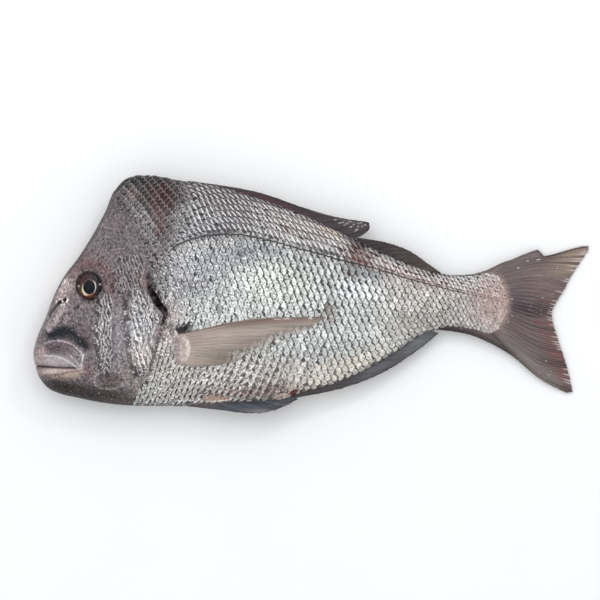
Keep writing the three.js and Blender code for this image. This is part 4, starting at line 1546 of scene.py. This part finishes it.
def fin(
    name,
    lines,
    thickness,
    rays,
    columns,
    rows,
    forks=(),
    lean=0.0,
    ragged=0.02,
    carved=0.14,
    seed=3,
    blunt=0.04,
):
    """A fin drawn through lines of plan points from its root out, still flat about height zero.

    Its thickness is that of its root and its free edge. Its rays lean, its free edge is ragged,
    the skin is carved in between the rays, and its corners are blunt. Gives the piece, and for
    each vertex its plan point, its height, its place among the rays, and its share of the way
    out."""
    bpy.ops.mesh.primitive_grid_add(x_subdivisions=columns, y_subdivisions=rows, size=1)
    made = bpy.context.object
    made.name = name
    thicken()
    block = coordinates(made)
    across, out, upper = block[:, 0] + 0.5, block[:, 1] + 0.5, block[:, 2] + 0.5
    phase = rays * (across - lean * out)
    apart = branches(phase, out, forks)
    crest = bell(apart / 0.1)
    uneven = np.random.default_rng(seed).random(rays * 8 + 9)
    tip = uneven[np.floor(phase * 4).astype(int) % len(uneven)]
    reach = out * (1 - ragged * (1 - crest + tip) * ease(out, 0.82, 1))
    corner = np.minimum(across, 1 - across)
    reach = reach * (1 - blunt * bell(corner / 0.025) * ease(out, 0.6, 1))
    spread = np.stack([along(line, across * (len(line) - 1)) for line in lines])
    plan = along(spread, reach * (len(lines) - 1), own=True)
    thick = thickness[0] + (thickness[1] - thickness[0]) * np.sqrt(out)
    height = upper * thick * (1 - carved * (1 - crest) * ease(out, 0, 0.15))
    loops = np.empty(len(made.data.loops), np.int32)
    made.data.loops.foreach_get("vertex_index", loops)
    chart = made.data.uv_layers.new(name="fin_chart")
    chart.data.foreach_set("uv", np.stack([phase, out], -1)[loops].astype(np.float32).ravel())
    return made, plan, height, phase, out


def stand(made, plan, level):
    """Puts a fin's vertices at plan points and heights."""
    set_coordinates(made, np.stack([*plan.T, level], -1))
    bpy.ops.object.shade_smooth_by_angle(angle=math.radians(60))


def rayed(name, coat, ray_tint, gap_tint, sparkle, joints=46, forks=()):
    """A fin's material: jointed rays, the thin skin between them, and painted glints along the
    rays.

    The coat is its strength and roughness."""
    finish = wet(name, *coat)
    ray_tint, gap_tint = linear(*ray_tint), linear(*gap_tint)
    chart = finish.add("ShaderNodeUVMap", {"uv_map": "fin_chart"}, {})
    phase, out = finish.part(chart, "X"), finish.part(chart, "Y")
    apart = abs(phase.maths("FRACT", phase) - 0.5)
    for reach, start, end in forks:
        apart = abs(apart - finish.ease(out, start, end) * reach)
    ray = 1 - finish.ease(apart, 0.015, 0.1)
    spot = finish.place()
    grain = finish.noise(spot, 800, 3, 0.7)
    hairs = finish.noise(finish.joined(phase * 9, out * 5), 1.0, 3, 0.6)
    count = out * joints + grain * 0.8
    joint = abs(count.maths("FRACT", count) - 0.5)
    dashes = finish.noise(finish.joined(phase * 3, out * joints), 1.0, 1)
    glisten = ray * finish.ease(dashes, 1 - sparkle, 1.04 - sparkle)
    tint = finish.mix(ray * 0.3, finish.colour("fin_colour"), ray_tint)
    tint = finish.mix((1 - ray) * finish.ease(hairs, 0.62, 0.4) * 0.4, tint, gap_tint)
    tint = finish.mix(finish.ease(hairs, 0.56, 0.74) * 0.35, tint, ray_tint)
    tint = finish.mix(ray * finish.ease(joint, 0.12, 0.0) * 0.5, tint, gap_tint)
    tint = finish.mix(finish.ease(grain, 0.45, 0.28) * 0.4, tint, gap_tint)
    tint = finish.mix(glisten * 0.85, tint, linear(238, 232, 230))
    finish.feed("Base Color", tint)
    finish.feed("Roughness", 0.34 + grain * 0.2 - glisten * 0.2)
    ridges = ray * 0.9 - finish.ease(joint, 0.1, 0) * ray * 0.3
    finish.bump(ridges + hairs * 0.7 + grain * 0.3, 0.0004)
    return finish


def fringe(colours, phase, out, seed, tip, streak, forks=()):
    """Gives single rays tones of their own, and pale or dark tips at the free edge."""
    crest = bell(branches(phase, out, forks) / 0.06)
    random = np.random.default_rng(seed)
    tones = random.normal(0, 1, 400)
    broad, fine = (np.floor(place).astype(int) % 400 for place in (phase * 2, phase * 4))
    own = tones[broad] * 0.6 + tones[(fine + 200) % 400] * 0.4
    colours = colours * (1 + 0.11 * own * ease(out, 0.05, 0.5))[:, None]
    chance = random.random(400)[fine]
    pale = (chance > 0.6) * crest * ease(out, 0.88 + 0.05 * np.abs(own), 0.97)
    dark = (chance < 0.16) * ease(out, 0.6, 0.95) * 0.75
    return cover(cover(colours, pale, tip), dark, streak)


tail, plan, height, phase, out = fin(
    "tail_fin",
    TAIL_LINES,
    thickness=(5.5, 1.8),
    rays=17,
    columns=272,
    rows=84,
    forks=TAIL_FORKS,
    ragged=0.012,
    carved=0.08,
    blunt=0.07,
)
x, y = plan.T
y += bell(phase / TAIL_EDGE_RAYS) * np.interp(x, *TAIL_EDGE)
stand(tail, plan, np.maximum(0, middle_plane(x) + height))
colours = toned(TAIL_SKIN, x, y, TAIL_PATCHES, TAIL_STROKES)
flesh = 1 - ease(x - np.interp(y, *SCALED_REAR), *TAIL_ROOT_EDGE)
middle, *span = TAIL_ROOT_MIDDLE
flesh *= TAIL_ROOT_STRENGTH * (1 - ease(np.abs(y - middle), *span))
flesh *= 1 - (1 - ease(x, *TAIL_ROOT_CORNER[:2])) * ease(-y, *TAIL_ROOT_CORNER[2:])
colours = cover(colours, flesh, TAIL_ROOT)
colours = fringe(colours, phase, out, 11, (226, 218, 212), (54, 30, 32), TAIL_FORKS)
paint(tail, "fin_colour", colours)
tail_skin = rayed(
    "tail_fin_skin",
    coat=(0.2, 0.15),
    ray_tint=(158, 144, 138),
    gap_tint=(62, 50, 54),
    sparkle=0.3,
    forks=TAIL_FORKS,
)
tail.data.materials.append(tail_skin.material)
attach(tail, "root")
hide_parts("fish")

# ---------------------------------------------------------------------------------------------
# The back fin: twelve spines in front, folded down into a groove along the back, and eleven soft
# rays behind them. Dark skin joins them. The spines' tips stand a little clear of it.
SPINY_LINES = [
    [[-122, 104], [-62, 92], [-10, 72], [36, 51]],
    [[-123, 110], [-60, 98], [-8, 80], [56, 63]],
    [[-124, 113.5], [-58, 103], [-8, 86.6], [26, 77], [57, 72.5]],
]
SPINY_PATCHES = [
    (-95, 110, 26, 5, -6, (88, 76, 78), 0.7),
    (-60, 106, 70, 1.6, -13, (104, 96, 98), 0.6),
    (-74, 101.5, 14, 1.3, -11, (112, 56, 58), 0.85),
    (-46, 95, 12, 1.3, -17, (98, 54, 56), 0.8),
    (-22, 86, 20, 1.4, -20, (92, 56, 60), 0.8),
    (10, 81, 12, 1.0, -15, (170, 156, 156), 0.7),
    (40, 72, 12, 1.0, -14, (176, 164, 164), 0.7),
    (42, 68, 16, 7, -15, (72, 64, 67), 0.8),
    (20, 62, 20, 4, -25, (44, 36, 40), 0.8),
]
# Wet sparks near the spines' tips, as plan x and the y of each.
SPINY_SPARKS = np.array(
    [
        [22.5, 27, 30, 32, 34.6, 37.6, 41, 38.4, 45.8, 45.6, 43.8, 42.8, 49.6, 52.6, 48.6, 36],
        [74.5, 71.5, 72, 69.6, 70.6, 72.6, 69.6, 67.2, 70.8, 67.6, 64.8, 62.8, 68, 69.4, 71.4, 75],
    ]
)
SPINY_GLINTS = [
    ([[x, y], [x + 1.5, y - 0.3]], (240, 235, 235), 0.55, 0.9) for x, y in SPINY_SPARKS.T
]
SOFT_LINES = [
    [[38, 50], [78, 31], [120, 15]],
    [[44, 54.5], [84, 40.5], [126, 20]],
    [[46, 56.5], [74, 52], [98, 43.5], [116, 31], [130, 21]],
]
SOFT_PATCHES = [
    (60, 46, 20, 5, -22, (44, 40, 46), 0.8),
    (96, 38, 22, 6, -30, (82, 72, 66), 0.8),
    (116, 27, 12, 5, -35, (96, 82, 72), 0.7),
]
# Each back fin: name, lines, thickness, rays, columns and rows, lean, skin's colour, patches.
BACK_FINS = [
    ("spiny_fin", SPINY_LINES, (5, 2.4), 12, 240, 20, 0.16, (62, 52, 56), SPINY_PATCHES),
    ("soft_fin", SOFT_LINES, (5, 2), 11, 176, 24, 0.2, (60, 53, 56), SOFT_PATCHES),
]
back_skin = rayed(
    "back_fin_skin",
    coat=(0.2, 0.14),
    ray_tint=(104, 88, 80),
    gap_tint=(30, 25, 29),
    sparkle=0.27,
    joints=30,
)
for name, lines, thickness, rays, columns, rows, lean, skin_tint, patches in BACK_FINS:
    made, plan, height, phase, out = fin(
        name, lines, thickness, rays, columns, rows, lean=lean, ragged=0.03
    )
    stand(made, plan, np.maximum(0, middle_plane(plan[:, 0]) + height))
    colours = toned(skin_tint, *plan.T, patches)
    colours = fringe(colours, phase, out, rays, (120, 104, 96), (36, 28, 32))
    paint(made, "fin_colour", draw(colours, *plan.T, SPINY_GLINTS))
    made.data.materials.append(back_skin.material)
    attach(made, "root")
    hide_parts("fish")

# ---------------------------------------------------------------------------------------------
# The vent fin, behind the vent: three short spines and eight soft rays in slate-grey skin, folded
# back along the belly's edge, with painted glints along its rays.
VENT_FIN_LINES = [
    [[-38, -97], [22, -80], [72, -56], [114, -30]],
    [[-32, -102], [30, -88.5], [82, -65.5], [121, -37]],
    [[-26, -106], [30, -95], [74, -77.8], [108, -55.5], [128, -39]],
]
VENT_FIN_SKIN = (72, 70, 72)
VENT_FIN_PATCHES = [
    (10, -94, 30, 5, 18, (84, 74, 74), 0.7),
    (66, -74, 26, 6, 26, (106, 106, 110), 0.85),
    (105, -50, 20, 7, 34, (126, 128, 130), 0.85),
    (96, -44, 24, 2.5, 32, (42, 38, 42), 0.8),
]

made, plan, height, phase, out = fin(
    "vent_fin",
    VENT_FIN_LINES,
    thickness=(4.4, 2.2),
    rays=11,
    columns=220,
    rows=22,
    lean=0.2,
    ragged=0.05,
    carved=0.3,
    seed=8,
)
stand(made, plan, np.maximum(0, middle_plane(plan[:, 0]) + height))
colours = toned(VENT_FIN_SKIN, *plan.T, VENT_FIN_PATCHES)
paint(made, "fin_colour", fringe(colours, phase, out, 5, (150, 150, 150), (34, 32, 36)))
vent_skin = rayed(
    "vent_fin_skin",
    coat=(0.2, 0.14),
    ray_tint=(134, 134, 136),
    gap_tint=(36, 34, 38),
    sparkle=0.3,
    joints=34,
)
made.data.materials.append(vent_skin.material)
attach(made, "root")
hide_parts("fish")

# ---------------------------------------------------------------------------------------------
# The two belly fins: a spine and five rays each, in thin blue-grey skin, folded back along the
# belly with their inner faces together.
BELLY_FIN_LINES = [
    [[-128, -104], [-76, -102], [-26, -98]],
    [[-126, -110], [-72, -112], [-20, -102]],
    [[-124, -112.5], [-98, -115.5], [-58, -120], [-34, -116], [-13, -105.5]],
]
BELLY_FIN_SPREAD = 1.6  # of each off the middle plane
BELLY_FIN_SKIN = (78, 78, 82)
BELLY_FIN_PATCHES = [
    (-112, -110, 22, 4, 0, (104, 90, 88), 0.8),
    (-70, -113, 26, 5, -2, (70, 76, 84), 0.85),
    (-52, -117, 18, 2, -2, (138, 128, 128), 0.7),
    (-62, -109, 24, 1.6, 0, (40, 42, 48), 0.8),
]

belly_skin = rayed(
    "belly_fin_skin",
    coat=(0.25, 0.1),
    ray_tint=(136, 140, 146),
    gap_tint=(38, 40, 46),
    sparkle=0.27,
    joints=30,
)
for side, side_name in SIDES:
    made, plan, height, phase, out = fin(
        f"belly_fin_{side_name}",
        BELLY_FIN_LINES,
        thickness=(6, 2.6),
        rays=6,
        columns=180,
        rows=20,
        lean=0.3,
        ragged=0.05,
        carved=0.4,
        seed=20 + side,
    )
    level = middle_plane(plan[:, 0]) + side * BELLY_FIN_SPREAD
    stand(made, plan, np.maximum(0, level + height))
    colours = toned(BELLY_FIN_SKIN, *plan.T, BELLY_FIN_PATCHES)
    colours = fringe(colours, phase, out, 15 + side, (176, 172, 172), (36, 36, 40))
    paint(made, "fin_colour", colours)
    made.data.materials.append(belly_skin.material)
    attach(made, "root")
    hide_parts("fish")

# ---------------------------------------------------------------------------------------------
# The loose folds of skin along the belly: a cream scaly flap over the root of the belly fins, a
# paler one ahead of the vent, and the red vent itself. Each is a small pointed lens of flesh.

# Each fold: name, x and y of its front end, length, half width, turn, body and lower rim colours.
FOLDS_BELOW = [
    ("root_flap", -110, -105, 28, 3.6, -1, (186, 154, 136), (255, 244, 230)),
    ("vent_flap", -38, -104, 20, 3.0, 10, (196, 174, 165), (232, 218, 210)),
    ("vent", -22, -101.5, 10, 2.4, 32, (92, 30, 27), (70, 22, 20)),
]
FOLD_POINT = 1.25  # how much wider than its half width a fold is in front
FOLD_BEND = 0.16
FOLD_LIFT = (2, 0.9)  # the least over the middle plane, and off the skin
FOLD_HALF_HEIGHT = 0.8
FOLD_GRAIN = 0.7
FOLD_RIMS = (-0.75, -0.25)  # across the fold, where the rim's colour ends
FOLD_DULL = (140, 126, 121)  # the tone of a flap's front end, where it runs into the belly

for name, front_x, front_y, length, half, turned, body, rim_tint in FOLDS_BELOW:
    fold, ball = globe(name, segments=64, rings=32)
    forward = (ball[:, 0] + 1) / 2
    slender = np.sqrt(np.maximum(0, 1 - forward)) * FOLD_POINT
    ahead = length * forward
    across = half * (ball[:, 1] * slender + FOLD_BEND * np.sin(forward * math.pi))
    c, s = turned_by(turned)
    x, y = front_x + ahead * c - across * s, front_y + ahead * s + across * c
    level = np.maximum(flank(x, y, 1), middle_plane(x) + FOLD_LIFT[0]) + FOLD_LIFT[1]
    set_coordinates(fold, np.stack([x, y, level + FOLD_HALF_HEIGHT * ball[:, 2]], -1))
    bpy.ops.object.shade_smooth()
    colours = cover(toned(body, x, y), 1 - ease(ball[:, 1], *FOLD_RIMS), rim_tint)
    dull = 0.75 * (1 - ease(forward, 0.1, 0.6)) * (name != "vent")
    colours = cover(colours, dull, FOLD_DULL)
    colours[:, 3] = FOLD_GRAIN
    paint(fold, "skin_colour", colours)
    fold.data.materials.append(slime.material)
    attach(fold, "root")
    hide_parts("fish")

# ---------------------------------------------------------------------------------------------
# The two breast fins: a fleshy pink lobe at the root, and a long thin sheet of fine rays that lies
# against the flank. The sheet clears towards its rear and lower edge, and the scales show through.
BREAST_FIN_LINES = [
    [[-128, -39.5], [-124, -55], [-127, -70]],
    [[-62, -25.2], [-80, -47], [-103, -62], [-119, -73]],
    [[18, -22.5], [-22, -46], [-70, -66], [-103, -72]],
]
BREAST_FORKS = [(0.25, 0.15, 0.5)]
BREAST_LIFT = (2.0, 1.25)  # of the sheet's middle off the flank, at its root and its tip
BREAST_RISE = (-0.1, 0.14)  # shares of the way out over which it comes up
BREAST_SKIN = (194, 179, 169)
BREAST_PATCHES = [
    (-118, -44, 18, 10, 10, (176, 160, 152), 0.8),
    (-70, -30, 50, 3.5, 6, (142, 118, 110), 0.8),
    (-20, -24, 34, 4, 3, (148, 124, 112), 0.85),
    (8, -20, 14, 5, 8, (112, 94, 86), 0.8),
    (-90, -60, 30, 8, 0, (166, 158, 142), 0.8),
]
# Where the sheet clears: centre x and y, reach along and across, turn, share of light let through.
CLEAR_PATCHES = [
    (-16, -48, 60, 17, 12, 0.99),
    (-58, -62, 40, 15, 12, 0.9),
    (-86, -75, 36, 7, 0, 0.6),
    (20, -32, 24, 10, 0, 0.95),
    (-20, -22, 60, 30, 0, 0.3),
]
BREAST_STROKES = [
    ([[-124, -38], [-92, -31], [-62, -27], [-30, -24]], (124, 94, 88), 1.3, 0.7),
    # Painted glints along the sheet's upper edge.
    ([[-38, -25.2], [-31, -24.9]], (250, 240, 234), 0.6, 0.9),
    ([[-29, -24.8], [-21, -24.4]], (254, 248, 244), 0.7, 0.97),
    ([[-3, -24.0], [0, -23.9]], (255, 253, 252), 1.5, 1.0),
]
LOBE = (-130, -55, 12, 16.5, 3.2)  # centre x and y, half sizes, height over the flank
LOBE_SKIN = (168, 149, 144)
LOBE_PATCHES = [
    (-138, -52, 8, 16, 0, (158, 142, 142), 0.85),
    (-126, -60, 7, 8, 0, (198, 184, 176), 0.6),
]
LOBE_RIM = [[-128, -43], [-122, -49], [-120.5, -55], [-122, -62], [-128, -68]]
LOBE_STROKES = [(LOBE_RIM, (222, 208, 196), 1.8, 0.45)]
for turned in range(-60, 61, 15):  # the roots of the rays, as pale lines that fan out
    c, s = turned_by(turned)
    ray = [[-126 + 1.5 * c, -55 + 5 * s], [-126 + 8 * c, -55 + 13 * s]]
    LOBE_STROKES.append((ray, (244, 234, 226), 0.6, 0.65))

breast_skin = rayed(
    "breast_fin_skin",
    coat=(0.2, 0.18),
    ray_tint=(196, 184, 172),
    gap_tint=(120, 100, 92),
    sparkle=0.22,
    joints=60,
    forks=BREAST_FORKS,
)
breast_skin.feed("Alpha", breast_skin.colour("fin_colour", "Alpha"))
fleshy = wet("breast_fin_flesh", 0.2, 0.15)
grain = fleshy.noise(fleshy.place(), 420, 4, 0.65)
pale, dark = fleshy.ease(grain, 0.45, 0.7) * 0.5, fleshy.ease(grain, 0.48, 0.3) * 0.5
tint = fleshy.mix(pale, fleshy.colour("skin_colour"), linear(238, 226, 222))
fleshy.feed("Base Color", fleshy.mix(dark, tint, linear(138, 112, 110)))
fleshy.feed("Roughness", 0.28 + grain * 0.25)
fleshy.feed("Alpha", fleshy.colour("skin_colour", "Alpha"))
fleshy.bump(grain, 0.0006)

for side, side_name in SIDES:
    made, plan, height, phase, out = fin(
        f"breast_fin_{side_name}",
        BREAST_FIN_LINES,
        thickness=(1.2, 0.7),
        rays=14,
        columns=224,
        rows=90,
        forks=BREAST_FORKS,
        carved=0.12,
        seed=31,
    )
    x, y = plan.T
    lift = BREAST_LIFT[0] + (BREAST_LIFT[1] - BREAST_LIFT[0]) * out
    lift = lift * ease(out, *BREAST_RISE)
    level = np.maximum(flank(x, y, side) + side * lift, np.abs(height))
    stand(made, plan, level + height)
    colours = toned(BREAST_SKIN, x, y, BREAST_PATCHES)
    colours = fringe(colours, phase, out, 40 + side, (210, 200, 190), (120, 98, 90))
    colours = draw(colours, x, y, BREAST_STROKES)
    clear = [share * soft_oval(x, y, *oval) for *oval, share in CLEAR_PATCHES]
    colours[:, 3] = 1 - np.max(clear, axis=0)
    paint(made, "fin_colour", colours)
    made.data.materials.append(breast_skin.material)
    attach(made, "root")
    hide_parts("fish")

    lobe, ball = globe(f"breast_fin_lobe_{side_name}", segments=96, rings=64)
    cx, cy, rx, ry, high = LOBE
    x, y = cx + rx * ball[:, 0], cy + ry * ball[:, 1]
    level = flank(x, y, side) + high * np.sign(ball[:, 2]) * np.abs(ball[:, 2]) ** 0.9
    set_coordinates(lobe, np.stack([x, y, np.maximum(0, level)], -1))
    bpy.ops.object.shade_smooth()
    colours = toned(LOBE_SKIN, x, y, LOBE_PATCHES, LOBE_STROKES)
    fading = 1 - ease(np.hypot(ball[:, 0], ball[:, 1]), 0.86, 0.99)
    colours[:, 3] = ease(x, cx - rx + 0.5, cx + 0.1 * rx) * fading
    paint(lobe, "skin_colour", colours)
    lobe.data.materials.append(fleshy.material)
    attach(lobe, "root")
    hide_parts("fish")
